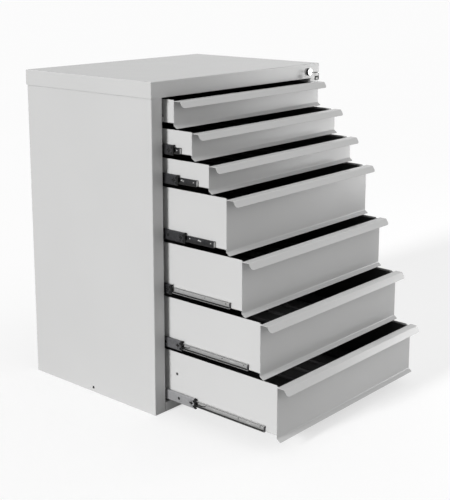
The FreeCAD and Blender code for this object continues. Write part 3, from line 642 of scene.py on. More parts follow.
def bump(
    nodes: Nodes, height: bpy.types.NodeSocket, distance: float, below: bpy.types.NodeSocket | None = None
) -> bpy.types.NodeSocket:
    """Normal from a height.

    Args:
        nodes: the material's nodes.
        height: 0 to 1 height.
        distance: metres that a height of one stands for.
        below: normal to build on, if any.

    Returns:
        The normal socket.
    """
    node = nodes.add("ShaderNodeBump", Distance=distance, Height=height)
    if below is not None:
        nodes.link(below, node.inputs["Normal"])
    return node.outputs[0]


@dataclass(frozen=True)
class PowderCoat:
    """Satin powder coat on sheet steel."""

    name: str
    light: Colour
    dark: Colour
    roughness: float
    peel: float = 0.03 * MM
    wave: float = 0.35 * MM
    peel_scale: float = 900.0
    cloud_scale: float = 3.0
    wave_scale: float = 2.2
    smoother: float = 0.05
    rougher: float = 0.07

    def make(self, effects: Effects) -> bpy.types.Material:
        """Build the material.

        Args:
            effects: the shared effects.

        Returns:
            The material.
        """
        material, nodes, shader = start_material(self.name, 0.0, Specular_IOR_Level=0.5)
        place = nodes.add("ShaderNodeTexCoord").outputs["Object"]
        powder = effects.powder.put(nodes, place, Peel_scale=self.peel_scale, Cloud_scale=self.cloud_scale)
        waves = effects.waves.put(nodes, place, Wave_scale=self.wave_scale)
        nodes.link(nodes.mix(powder["Cloud"], self.dark, self.light), shader.inputs["Base Color"])
        sheen = nodes.between(powder["Sheen"], self.roughness - self.smoother, self.roughness + self.rougher)
        nodes.link(sheen, shader.inputs["Roughness"])
        large = bump(nodes, waves["Height"], self.wave)
        nodes.link(bump(nodes, powder["Height"], self.peel, large), shader.inputs["Normal"])
        return material


@dataclass(frozen=True)
class ZincPlate:
    """Zinc-plated, rolled strip steel."""

    name: str
    light: Colour
    dark: Colour
    smooth: float
    rough: float
    metallic: float
    line_scale: float = 700.0
    blotch_scale: float = 60.0
    line_height: float = 0.02 * MM

    def make(self, effects: Effects) -> bpy.types.Material:
        """Build the material.

        Args:
            effects: the shared effects.

        Returns:
            The material.
        """
        material, nodes, shader = start_material(self.name, self.metallic)
        place = nodes.add("ShaderNodeTexCoord").outputs["Object"]
        grain = effects.grain.put(nodes, place, Line_scale=self.line_scale, Blotch_scale=self.blotch_scale)
        nodes.link(nodes.mix(grain["Blotch"], self.dark, self.light), shader.inputs["Base Color"])
        nodes.link(nodes.between(grain["Blotch"], self.rough, self.smooth), shader.inputs["Roughness"])
        nodes.link(bump(nodes, grain["Lines"], self.line_height), shader.inputs["Normal"])
        return material


@dataclass(frozen=True)
class MouldedPlastic:
    """Matt moulded plastic with a fine spark-eroded texture and a trace of dust."""

    name: str
    light: Colour
    dark: Colour
    roughness: float
    dust: float
    dust_colour: Colour = (0.16, 0.155, 0.15)
    grain_scale: float = 1600.0
    grain_height: float = 0.03 * MM
    cloud_scale: float = 12.0
    spread: float = 0.08

    def make(self, effects: Effects) -> bpy.types.Material:
        """Build the material.

        Args:
            effects: the shared effects.

        Returns:
            The material.
        """
        material, nodes, shader = start_material(self.name, 0.0, Specular_IOR_Level=0.4)
        place = nodes.add("ShaderNodeTexCoord").outputs["Object"]
        facing = nodes.add("ShaderNodeSeparateXYZ", Vector=nodes.add("ShaderNodeNewGeometry").outputs["Normal"])
        dust = effects.dust.put(nodes, place, Amount=self.dust)
        nodes.link(facing.outputs["Z"], dust["Mask"].node.inputs["Up"])
        powder = effects.powder.put(nodes, place, Peel_scale=self.grain_scale, Cloud_scale=self.cloud_scale)
        plain = nodes.mix(powder["Cloud"], self.dark, self.light)
        nodes.link(nodes.mix(dust["Mask"], plain, self.dust_colour), shader.inputs["Base Color"])
        sheen = nodes.between(powder["Sheen"], self.roughness - self.spread, self.roughness + self.spread)
        nodes.link(sheen, shader.inputs["Roughness"])
        nodes.link(bump(nodes, powder["Height"], self.grain_height), shader.inputs["Normal"])
        return material


@dataclass(frozen=True)
class PolishedChrome:
    """Bright chrome or nickel with fine handling marks."""

    name: str
    tint: Colour
    roughness: float
    mark_scale: float = 2500.0
    blotch_scale: float = 300.0
    mark_depth: float = 0.004 * MM
    blotch_shade: float = 0.86
    roughness_span: Corner = (0.6, 1.6)

    def make(self, effects: Effects) -> bpy.types.Material:
        """Build the material.

        Args:
            effects: the shared effects.

        Returns:
            The material.
        """
        material, nodes, shader = start_material(self.name, 1.0)
        place = nodes.add("ShaderNodeTexCoord").outputs["Object"]
        grain = effects.grain.put(nodes, place, Line_scale=self.mark_scale, Blotch_scale=self.blotch_scale)
        shade = tuple(channel * self.blotch_shade for channel in self.tint)
        nodes.link(nodes.mix(grain["Blotch"], shade, self.tint), shader.inputs["Base Color"])
        least, most = (self.roughness * share for share in self.roughness_span)
        nodes.link(nodes.between(grain["Lines"], least, most), shader.inputs["Roughness"])
        nodes.link(bump(nodes, grain["Lines"], self.mark_depth), shader.inputs["Normal"])
        return material


@dataclass(frozen=True)
class Palette:
    """Finished materials of the cabinet."""

    paint: bpy.types.Material
    zinc: bpy.types.Material
    # Copies of the zinc with painted shade in their colour, for runners that sit in shade.
    zinc_in_faint_painted_shade: bpy.types.Material
    zinc_in_half_painted_shade: bpy.types.Material
    dark_zinc: bpy.types.Material
    # Painted shadow: near-black strips and discs.
    shadow_black: bpy.types.Material
    chrome: bpy.types.Material
    dark_tinted_chrome: bpy.types.Material
    key_steel: bpy.types.Material
    catch: bpy.types.Material
    tray: bpy.types.Material
    fob_plate: bpy.types.Material


def mix_palette() -> Palette:
    """Build every material of the cabinet.

    Returns:
        The materials by use.
    """
    effects = Effects(powder_texture(), sheet_waves(), rolled_grain(), fine_dust())
    paint = PowderCoat("light_grey_powder_coat", (0.60, 0.60, 0.598), (0.56, 0.56, 0.557), 0.22)
    zinc = ZincPlate("bright_zinc", (0.64, 0.64, 0.63), (0.46, 0.46, 0.46), 0.26, 0.44, 0.5)
    # Zinc copies with painted shade: the darker the copy, the deeper the shade and the darker the reflections it
    # stands for.
    zinc_in_faint_painted_shade = ZincPlate("zinc_in_faint_painted_shade", (0.54, 0.54, 0.55), (0.34, 0.34, 0.35), 0.26, 0.44, 0.55)
    zinc_in_half_painted_shade = ZincPlate("zinc_in_half_painted_shade", (0.25, 0.25, 0.26), (0.12, 0.12, 0.125), 0.28, 0.44, 0.6)
    dark_zinc = ZincPlate("dark_zinc", (0.13, 0.13, 0.135), (0.03, 0.03, 0.034), 0.28, 0.46, 0.75)
    # Painted shadow: near-black, for the strips along the runners' flanges and the discs in their holes.
    shadow_black = ZincPlate("painted_shadow_black", (0.05, 0.05, 0.05), (0.02, 0.02, 0.02), 0.34, 0.5, 0.5)
    chrome = PolishedChrome("polished_chrome", (0.80, 0.80, 0.80), 0.09)
    # Chrome tinted nearly black, for the lock case's flank beside the bright face.
    dark_tinted_chrome = PolishedChrome("dark_tinted_chrome", (0.07, 0.07, 0.075), 0.16)
    key_steel = PolishedChrome("key_steel", (0.34, 0.34, 0.33), 0.2)
    catch = MouldedPlastic("black_catch_plastic", (0.009, 0.009, 0.009), (0.005, 0.005, 0.005), 0.5, 0.03)
    tray = MouldedPlastic("black_tray_plastic", (0.075, 0.075, 0.075), (0.055, 0.055, 0.055), 0.5, 0.10)
    fob_plate = MouldedPlastic("white_fob_plastic", (0.72, 0.72, 0.70), (0.64, 0.64, 0.62), 0.4, 0.0)
    finishes = (
        paint, zinc, zinc_in_faint_painted_shade, zinc_in_half_painted_shade, dark_zinc, shadow_black, chrome, dark_tinted_chrome, key_steel, catch, tray, fob_plate,
    )
    return Palette(*(finish.make(effects) for finish in finishes))


# ---------------------------------------------------------------- pieces


def make_piece(
    name: str,
    shells: Sequence[Shell],
    material: bpy.types.Material,
    body: str,
    stands_for: Sequence[str] = (),
    edge: float = 0.0,
    sharp: float = 38.0,
) -> bpy.types.Object:
    """One finished piece, riding on its body.

    Args:
        name: piece name.
        shells: its closed surfaces.
        material: finish.
        body: body that it moves with.
        stands_for: CAD nodes that it replaces.
        edge: width of the rounding on sharp edges, or 0 for none.
        sharp: angle in degrees over which an edge stays sharp.

    Returns:
        The piece.
    """
    offsets = np.cumsum([0] + [len(shell.points) for shell in shells])
    points = np.concatenate([shell.points for shell in shells])
    faces = [
        [int(corner + offset) for corner in face]
        for offset, shell in zip(offsets, shells)
        for face in shell.faces
    ]
    mesh = bpy.data.meshes.new(name)
    mesh.from_pydata(points.tolist(), [], faces)
    work = bmesh.new()
    work.from_mesh(mesh)
    bmesh.ops.recalc_face_normals(work, faces=work.faces)
    work.to_mesh(mesh)
    work.free()
    mesh.polygons.foreach_set("use_smooth", np.ones(len(mesh.polygons), dtype=bool))
    mesh.set_sharp_from_angle(angle=math.radians(sharp))
    mesh.materials.append(material)
    piece = bpy.data.objects.new(name, mesh)
    bpy.context.scene.collection.objects.link(piece)
    if edge:
        rounding = piece.modifiers.new("edge_rounding", "BEVEL")
        rounding.width = edge
        rounding.segments = 2
        rounding.limit_method = "ANGLE"
        rounding.angle_limit = math.radians(50)
        rounding.use_clamp_overlap = True
    flat = piece.modifiers.new("flat_faces", "WEIGHTED_NORMAL")
    flat.keep_sharp = True
    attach(piece, body)
    if stands_for:
        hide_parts(*stands_for)
    LOG.info("%s: %d faces on %s", name, len(faces), body)
    return piece


def drilled(shell: Shell, centre: Place, along: Along, radius: float, length: float) -> Shell:
    """A shell with a round hole cut through it.

    Args:
        shell: closed surface that does not cross itself.
        centre: middle of the hole.
        along: axis of the hole.
        radius: hole radius.
        length: length of the drill.

    Returns:
        The cut shell.
    """
    bit_shell = prism(ring_loop((0.0, 0.0), radius, 28), -length / 2, length / 2, along)
    parts = []
    for name, source, offset in (("stock", shell, np.zeros(3)), ("drill_bit", bit_shell, np.asarray(centre))):
        mesh = bpy.data.meshes.new(name)
        mesh.from_pydata((source.points + offset).tolist(), [], source.faces)
        work = bmesh.new()
        work.from_mesh(mesh)
        bmesh.ops.recalc_face_normals(work, faces=work.faces)
        work.to_mesh(mesh)
        work.free()
        thing = bpy.data.objects.new(name, mesh)
        bpy.context.scene.collection.objects.link(thing)
        parts.append(thing)
    stock, bit = parts
    cut = stock.modifiers.new("drilling", "BOOLEAN")
    cut.operation = "DIFFERENCE"
    cut.solver = "EXACT"
    cut.object = bit
    mesh = bpy.data.meshes.new_from_object(stock.evaluated_get(bpy.context.evaluated_depsgraph_get()))
    points = np.empty(len(mesh.vertices) * 3)
    mesh.vertices.foreach_get("co", points)
    faces = [list(face.vertices) for face in mesh.polygons]
    for thing in parts:
        bpy.data.objects.remove(thing)
    return Shell(points.reshape(-1, 3), faces)


def dress(node: str, material: bpy.types.Material) -> None:
    """Give a CAD node its finish.

    Args:
        node: name of the node.
        material: finish.
    """
    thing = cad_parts[node]
    if not thing.material_slots:
        thing.data.materials.append(material)
    for slot in thing.material_slots:
        slot.material = material


@dataclass(frozen=True)
class Carcass:
    """Cover, side panels, back and base of the cabinet, with the posts inside."""

    palette: Palette
    sheet: float = 1.2 * MM
    cover_bend: float = 2.0 * MM
    cover_corner: float = 2.5 * MM
    least_corner: float = 0.2 * MM
    side_bend: float = 1.8 * MM
    stile_return: float = 15.0 * MM
    stile_width: float = 44.0 * MM
    rear_return: float = 25.0 * MM
    fixing_radius: float = 4.75 * MM
    fixing_height: float = 14.0 * MM
    rivet_radius: float = 3.2 * MM
    rivet_height: float = 1.1 * MM
    rivet_count: int = 6
    rivet_margins: Corner = (60.0 * MM, 90.0 * MM)

    def build(self) -> None:
        """Make the new pieces and dress the CAD nodes that stay."""
        self.cover()
        self.side_panels()
        self.rivets()
        for node in ("back_panel", "base_tray"):
            dress(node, self.palette.paint)
        for node in ("front_upright_left", "front_upright_right", "rear_upright_left", "rear_upright_right"):
            dress(node, self.palette.zinc)
        # Fixed members inside the cabinet: zinc with painted shade.
        dress("cabinet_members", self.palette.dark_zinc)

    def cover(self) -> None:
        """Top cover: P(u, v) = rounded rectangle(u) drawn in by d(v) at height z(v), from the rim over the bend."""
        low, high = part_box("top_cover")
        bend = self.cover_bend
        arc = np.linspace(0.0, math.pi / 2, 7)
        inset = np.concatenate([[bend * 2, self.sheet, self.sheet, 0.0], bend * (1 - np.cos(arc))])
        level = np.concatenate([
            [high.z - self.sheet, high.z - self.sheet, low.z, low.z], high.z - bend * (1 - np.sin(arc)),
        ])
        loops = [
            rounded_loop(
                (low.x + d, low.y + d), (high.x - d, high.y - d), max(self.cover_corner - d, self.least_corner)
            )
            for d in inset
        ]
        count = len(loops[0])
        points = np.concatenate([placed(loop, np.full(count, z), Along.Z) for loop, z in zip(loops, level)])
        r, c = np.meshgrid(np.arange(len(loops) - 1), np.arange(count), indexing="ij")
        r, c = r.ravel() * count, c.ravel()
        onward = (c + 1) % count
        quads = np.column_stack([r + c, r + onward, r + count + onward, r + count + c])
        faces: list[Sequence[int]] = quads.tolist()
        faces += [list(range(count)), list(range(len(points) - count, len(points)))]
        make_piece(
            "cover_pan", [Shell(points, faces)], self.palette.paint, "cabinet", ["top_cover"], sharp=50
        )

    def side_panels(self) -> None:
        """Side panels, folded round a stile at the front and a return at the back, with the fixing hole."""
        for side, name in ((-1, "left"), (1, "right")):
            low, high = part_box(f"side_panel_{name}")
            skin = high.x if side > 0 else -low.x
            stile = skin - self.stile_width
            corners = [
                (stile, low.y + self.stile_return), (stile, low.y), (skin, low.y), (skin, high.y),
                (skin - self.rear_return, high.y),
            ]
            line, normals = folded_path(corners, self.sheet, [self.side_bend] * 3)
            sheet = sheet_shell(line, normals, self.sheet, low.z, high.z, Along.Z)
            middle = (skin, (low.y + high.y) / 2, self.fixing_height)
            shells = [drilled(sheet, middle, Along.X, self.fixing_radius, self.rear_return)]
            if side < 0:
                shells = mirrored(shells)
            make_piece(
                f"side_sheet_{name}", shells, self.palette.paint, "cabinet", [f"side_panel_{name}"]
            )

    def rivets(self) -> None:
        """Blind rivets down both edges of the back: low domes, height = h * sqrt(1 - (r / R) ** 2)."""
        low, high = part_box("side_panel_right")
        across = high.x - self.rear_return / 2
        foot, head = self.rivet_margins
        angles = np.linspace(0.0, math.pi / 2, 6)
        dome = [(self.rivet_radius * math.sin(a), self.rivet_height * math.cos(a)) for a in angles]
        profile = [*dome, (0.0, 0.0)]
        shells = [
            lathe(profile, (side * across, high.y, level), Along.Y, 20)
            for side in (-1, 1)
            for level in np.linspace(low.z + foot, high.z - head, self.rivet_count)
        ]
        make_piece("back_rivets", shells, self.palette.zinc, "cabinet")


def round_ends(
    line: np.ndarray, normals: np.ndarray, first_radius: float, last_radius: float, steps: int = 6
) -> tuple[np.ndarray, np.ndarray, np.ndarray]:
    """Extra points near both ends of a section, with the inset that rounds the sheet's corners there.

    At a distance s from a free edge the inset is r - sqrt(r^2 - (r - s)^2), a quarter circle.

    Args:
        line: section line.
        normals: its normals.
        first_radius: corner radius at the line's start.
        last_radius: corner radius at its end.
        steps: points in each corner.

    Returns:
        Line, normals and inset.
    """
    angles = np.linspace(0.0, math.pi / 2, steps + 1)

    def corner(start: np.ndarray, toward: np.ndarray, radius: float) -> tuple[np.ndarray, np.ndarray]:
        """Points from a free edge inward, with their insets.

        Args:
            start: point on the free edge.
            toward: next point of the section.
            radius: corner radius.

        Returns:
            The points and the insets.
        """
        direction = (toward - start) / np.linalg.norm(toward - start)
        distance = radius * (1 - np.cos(angles))
        return start + direction * distance[:, None], radius * (1 - np.sin(angles))

    head, head_inset = corner(line[0], line[1], first_radius)
    tail, tail_inset = corner(line[-1], line[-2], last_radius)
    new_line = np.concatenate([head, line[1:-1], tail[::-1]])
    head_normals, tail_normals = (np.repeat(end, steps + 1, 0) for end in (normals[:1], normals[-1:]))
    new_normals = np.concatenate([head_normals, normals[1:-1], tail_normals])
    inset = np.concatenate([head_inset, np.zeros(len(line) - 2), tail_inset[::-1]])
    return new_line, new_normals, inset


@dataclass(frozen=True)
class DrawerPart:
    """What the parts of one drawer share."""

    number: int
    palette: Palette
    front_sheet: float = 1.2 * MM

    @property
    def body(self) -> str:
        """Body that the drawer's pieces ride on."""
        return f"drawer_{self.number}"


@dataclass(frozen=True)
class GullFront(DrawerPart):
    """Drawer front with a lip along its top and a toe along its bottom."""

    edge: float = 0.35 * MM
    bend: float = 2.2 * MM
    lip_flat: float = 24.0 * MM
    lip_reach: float = 35.0 * MM
    lip_drop: float = 18.5 * MM
    lip_corner: float = 8.5 * MM
    wall_lift: float = 3.5 * MM
    toe_reach: float = 11.9 * MM
    toe_drop: float = 8.6 * MM
    toe_bend: float = 5.0 * MM
    toe_corner: float = 3.0 * MM

    def build(self) -> None:
        """Front folded from one sheet; its half width shrinks by r - sqrt(r^2 - (r - s)^2) near a free edge."""
        _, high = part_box(f"drawer_front_{self.number}")
        box_low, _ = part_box(f"drawer_box_{self.number}")
        sheet = self.front_sheet
        face = high.y - sheet
        foot = box_low.z - self.wall_lift
        corners = [
            (face - self.lip_reach, high.z - self.lip_drop),
            (face - self.lip_flat, high.z - sheet),
            (face, high.z - sheet),
            (face, foot),
            (face - self.toe_reach, foot - self.toe_drop),
        ]
        bends = [self.bend, self.bend, self.toe_bend]
        line, normals = folded_path(corners, sheet, bends, steps=8)
        line, normals, inset = round_ends(line, normals, self.lip_corner, self.toe_corner)
        half = high.x - inset
        shell = sheet_shell(line, normals, sheet, -half, half, Along.X)
        make_piece(
            f"gull_front_{self.number}", [shell], self.palette.paint, self.body,
            [f"drawer_front_{self.number}"], edge=self.edge,
        )


@dataclass(frozen=True)
class SheetBox(DrawerPart):
    """Drawer box with hemmed walls; its holes and its lug count from the front's face."""

    edge: float = 0.2 * MM
    sheet: float = 1.0 * MM
    bend: float = 1.5 * MM
    hem_width: float = 2.3 * MM
    hem_height: float = 8.0 * MM
    hem_setback: float = 7.0 * MM
    hem_step: float = 3.0 * MM
    deep_box: float = 100.0 * MM
    wall_hole: float = 4.4 * MM
    wall_hole_depth: float = 387.0 * MM
    wall_hole_height: float = 80.0 * MM
    lug_sheet: float = 2.0 * MM
    lug_leg: float = 12.0 * MM
    lug_setback: float = 36.5 * MM
    lug_lift: float = 50.0 * MM
    lug_height: float = 8.0 * MM

    @property
    def wall_side(self) -> float:
        """Half width of the box over its walls."""
        low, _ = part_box(f"drawer_box_{self.number}")
        return -low.x

    def build(self) -> None:
        """Box of one folded sheet with rolled hems, two end plates and the lug for the lock."""
        low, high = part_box(f"drawer_box_{self.number}")
        half, sheet = self.wall_side, self.sheet
        hem, start = self.hem_width, low.y
        corners = [
            (hem - half, high.z - self.hem_height), (hem - half, high.z), (-half, high.z), (-half, low.z),
            (half, low.z), (half, high.z), (half - hem, high.z), (half - hem, high.z - self.hem_height),
        ]
        tight, bend = hem / 2 - sheet, self.bend
        line, normals = folded_path(corners, sheet, [tight, tight, bend, bend, tight, tight], steps=6)
        wall = sheet_shell(line, normals, sheet, start + self.hem_setback, high.y, Along.Y)
        if high.z - low.z > self.deep_box:
            middle = (0.0, start - self.front_sheet + self.wall_hole_depth, low.z + self.wall_hole_height)
            through_both = half * 2.1
            wall = drilled(wall, middle, Along.X, self.wall_hole, through_both)
        shells = [wall]
        edge = high.z - self.hem_step
        plain = [(-half, edge), (-half, low.z), (half, low.z), (half, edge)]
        line, normals = folded_path(plain, sheet, [bend, bend], steps=6)
        shells.append(sheet_shell(line, normals, sheet, start, start + self.hem_setback, Along.Y))
        inside = half - sheet
        for level, top in ((start, edge), (high.y - sheet, high.z)):
            loop = rounded_loop((-inside, low.z + sheet), (inside, top), bend)
            shells.append(prism(loop, level, level + sheet, Along.Y))
        shells.append(self.lug(start))
        make_piece(
            f"sheet_box_{self.number}", shells, self.palette.paint, self.body,
            [f"drawer_box_{self.number}"], edge=self.edge,
        )

    def lug(self, start: float) -> Shell:
        """Angle on the right wall that the locking bar's finger holds; its leg stands out of the wall.

        Args:
            start: front end of the box in y.

        Returns:
            The angle's shell.
        """
        low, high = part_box(f"drawer_box_{self.number}")
        plate, leg = self.lug_sheet, self.lug_leg
        front = start - self.front_sheet + self.lug_setback
        wall, tip, bottom = self.wall_side, high.x, low.z + self.lug_lift
        loop = np.array([
            (wall, front), (tip, front), (tip, front + plate), (wall + plate, front + plate),
            (wall + plate, front + leg), (wall, front + leg),
        ])
        return prism(loop, bottom, bottom + self.lug_height, Along.Z)


@dataclass(frozen=True)
class SlideTray(DrawerPart):
    """Black tray that holds rows of slides."""

    wall: float = 2.0 * MM
    bend: float = 1.0 * MM
    rows: int = 8
    row_pitch: float = 81.0 * MM
    divider_height: float = 9.0 * MM
    divider_corner: float = 0.8 * MM
    comb_pitch: float = 3.3 * MM
    comb_levels: Corner = (0.15 * MM, 1.2 * MM)

    def build(self) -> None:
        """Black tray: a folded tub, round-topped dividers, and a floor that zigzags between two levels along Y."""
        low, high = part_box(f"slide_tray_{self.number}")
        wall = self.wall
        tub = [(low.x, high.z), (low.x, low.z), (high.x, low.z), (high.x, high.z)]
        line, normals = folded_path(tub, wall, [self.bend] * 2, steps=5)
        shells = [sheet_shell(line, normals, wall, low.y, high.y, Along.Y)]
        inside = (low.x + wall, high.x - wall)
        for level in (low.y, high.y - wall):
            loop = rounded_loop((inside[0], low.z + wall), (inside[1], high.z), self.bend)
            shells.append(prism(loop, level, level + wall, Along.Y))
        floor = low.z + wall
        near, far = low.y + wall, high.y - wall
        teeth = int((far - near) / self.comb_pitch)
        along = np.linspace(near, far, teeth * 2 + 1)
        ridge = np.where(np.arange(teeth * 2 + 1) % 2 == 0, *self.comb_levels)
        comb = np.column_stack([along, floor + ridge])
        outline = np.concatenate([comb, [(far, floor), (near, floor)]])
        for row in range(self.rows):
            left = self.row_pitch * (row - self.rows / 2) + wall / 2
            right = left + self.row_pitch - wall
            shells.append(prism(outline, max(left, inside[0]), min(right, inside[1]), Along.X))
        for gap in range(1, self.rows):
            centre = self.row_pitch * (gap - self.rows / 2)
            foot, head = (centre - wall / 2, floor), (centre + wall / 2, floor + self.divider_height)
            shells.append(prism(rounded_loop(foot, head, self.divider_corner, 3), near, far, Along.Y))
        make_piece(
            f"row_tray_{self.number}", shells, self.palette.tray, self.body,
            [f"slide_tray_{self.number}"],
        )


@dataclass(frozen=True)
class Drawer:
    """One drawer: folded front, sheet box and black tray."""

    number: int
    palette: Palette

    def build(self) -> None:
        """Make the drawer's pieces."""
        for part in (GullFront, SheetBox, SlideTray):
            part(self.number, self.palette).build()


def bar(origin: Corner, span: Corner, rise: Corner, radius: float, depth: Corner) -> Shell:
    """Flat bar with round corners that lies across X.

    Args:
        origin: outer face in x and middle line in z.
        span: start and end in y.
        rise: underside and top, from the middle line.
        radius: corner radius.
        depth: places of its two faces, from the outer face inwards.

    Returns:
        The bar's shell.
    """
    (outer, middle), (low, high), (first, second) = origin, rise, depth
    loop = rounded_loop((span[0], middle + low), (span[1], middle + high), radius)
    return prism(loop, outer - first, outer - second, Along.X)


@dataclass(frozen=True)
class RunnerPart:
    """What the parts of one drawer's two runners share; the left runner mirrors the right one."""

    number: int
    palette: Palette
    steel: float = 1.2 * MM
    bend: float = 1.6 * MM
    hole_radius: float = 2.2 * MM
    mid_depth: float = 6.8 * MM
    cross_place: float = 11.0 * MM
    inner_depth: float = 7.5 * MM
    end_hole: float = 19.6 * MM
    small_hole: float = 100.0 * MM
    inner_holes: tuple[float, ...] = (0.192, 0.288, 0.384, 0.455)
    last_dark: int = 4

    @property
    def mid_body(self) -> str:
        """Body of the intermediate members."""
        return f"mid_{self.number}"

    @property
    def drawer_body(self) -> str:
        """Body of the drawer and its members."""
        return f"drawer_{self.number}"

    def channel(
        self, web: float, mouth: float, levels: Corner, ends: Corner, holes: Sequence[np.ndarray]
    ) -> list[Shell]:
        """Rolled channel of the right side: a pierced web with a curled flange above and below.

        Args:
            web: outside of the web in x.
            mouth: free edge of the flanges in x.
            levels: underside and top.
            ends: front and rear end.
            holes: loops in (y, z) through the web.

        Returns:
            Its shells.
        """
        (low, high), (near, far) = levels, ends
        outer = self.bend + self.steel
        inward = math.copysign(1.0, mouth - web)
        outline = np.array([(near, low + outer), (far, low + outer), (far, high - outer), (near, high - outer)])
        first, second = sorted((web, web + self.steel * inward))
        shells = [plate_shell(outline, holes, first, second, Along.X)]
        for edge, start in ((low, low + outer), (high, high - outer)):
            path = [(web, start), (web, edge), (mouth, edge)]
            left_is_in = (edge - start) * inward < 0
            points, normals = folded_path(path if left_is_in else path[::-1], self.steel, [self.bend], steps=5)
            shells.append(sheet_shell(points, normals, self.steel, near, far, Along.Y))
        return shells


@dataclass(frozen=True)
class MidMember(RunnerPart):
    """Intermediate members."""

    edge: float = 0.12 * MM
    round_holes: tuple[float, ...] = (0.120, 0.216, 0.312, 0.408)
    cross_arm: Corner = (7.4 * MM, 5.6 * MM)
    cross_width: float = 2.5 * MM
    pin_rise: float = 8.6 * MM
    pin_radius: float = 1.7 * MM
    window_place: float = 61.0 * MM
    window_half: Corner = (4.6 * MM, 4.8 * MM)
    rib_gaps: Corner = (3.0 * MM, 2.0 * MM)
    rib_corner: float = 2.0 * MM
    rib_half: float = 5.0 * MM
    rib_root: float = 0.2 * MM
    rib_rise: float = 0.5 * MM
    strip_width: float = 3.0 * MM
    strip_length: float = 200.0 * MM
    strip_corner: float = 0.5 * MM
    strip_play: float = 0.25 * MM
    end_gap: float = 2.0 * MM

    @property
    def finish(self) -> bpy.types.Material:
        """Zinc with painted shade on the members: dark above, grey and then pale on the two lowest drawers."""
        return {6: self.palette.zinc_in_half_painted_shade, 7: self.palette.zinc_in_faint_painted_shade}.get(self.number, self.palette.dark_zinc)

    def build(self) -> None:
        """Intermediate member: cross-shaped and oval openings near its front, a raised rib, and its ball strips."""
        low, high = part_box(f"mid_members_{self.number}")
        web, mouth = high.x, high.x - self.mid_depth
        middle = (low.z + high.z) / 2
        cross_y = low.y + self.cross_place
        (arm, rise), thick = self.cross_arm, self.cross_width
        cross = np.array([
            (-arm, -thick), (-thick, -thick), (-thick, -rise), (thick, -rise), (thick, -thick), (arm, -thick),
            (arm, thick), (thick, thick), (thick, rise), (-thick, rise), (-thick, thick), (-arm, thick),
        ]) + np.array([cross_y, middle])
        window_y = low.y + self.window_place
        half_y, half_z = self.window_half
        nearly_oval = half_y * 0.98
        window = rounded_loop((window_y - half_y, middle - half_z), (window_y + half_y, middle + half_z), nearly_oval)
        holes = [cross, window]
        holes += [ring_loop((low.y + place, middle), self.hole_radius) for place in self.round_holes]
        holes += [ring_loop((cross_y, middle + side * self.pin_rise), self.pin_radius, 12) for side in (-1, 1)]
        shells = self.channel(web, mouth, (low.z, high.z), (low.y, high.y), holes)
        rib_start, rib_end = cross_y + arm + self.rib_gaps[0], window_y - half_y - self.rib_gaps[1]
        rib = rounded_loop((rib_start, middle - self.rib_half), (rib_end, middle + self.rib_half), self.rib_corner)
        shells.append(prism(rib, web - self.rib_root, web + self.rib_rise, Along.X))
        member_low, member_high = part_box(f"drawer_members_{self.number}")
        front = low.y + self.end_gap
        for edge, face in ((high.z - self.steel, member_high.z), (low.z + self.steel, member_low.z)):
            bottom, top = sorted((edge, face + math.copysign(self.strip_play, edge - face)))
            loop = rounded_loop((mouth, bottom), (mouth + self.strip_width, top), self.strip_corner, 3)
            shells.append(prism(loop, front, front + self.strip_length, Along.Y))
        make_piece(
            f"runner_mid_{self.number}", both_sides(shells), self.finish, self.mid_body,
            [f"mid_members_{self.number}"], edge=self.edge,
        )


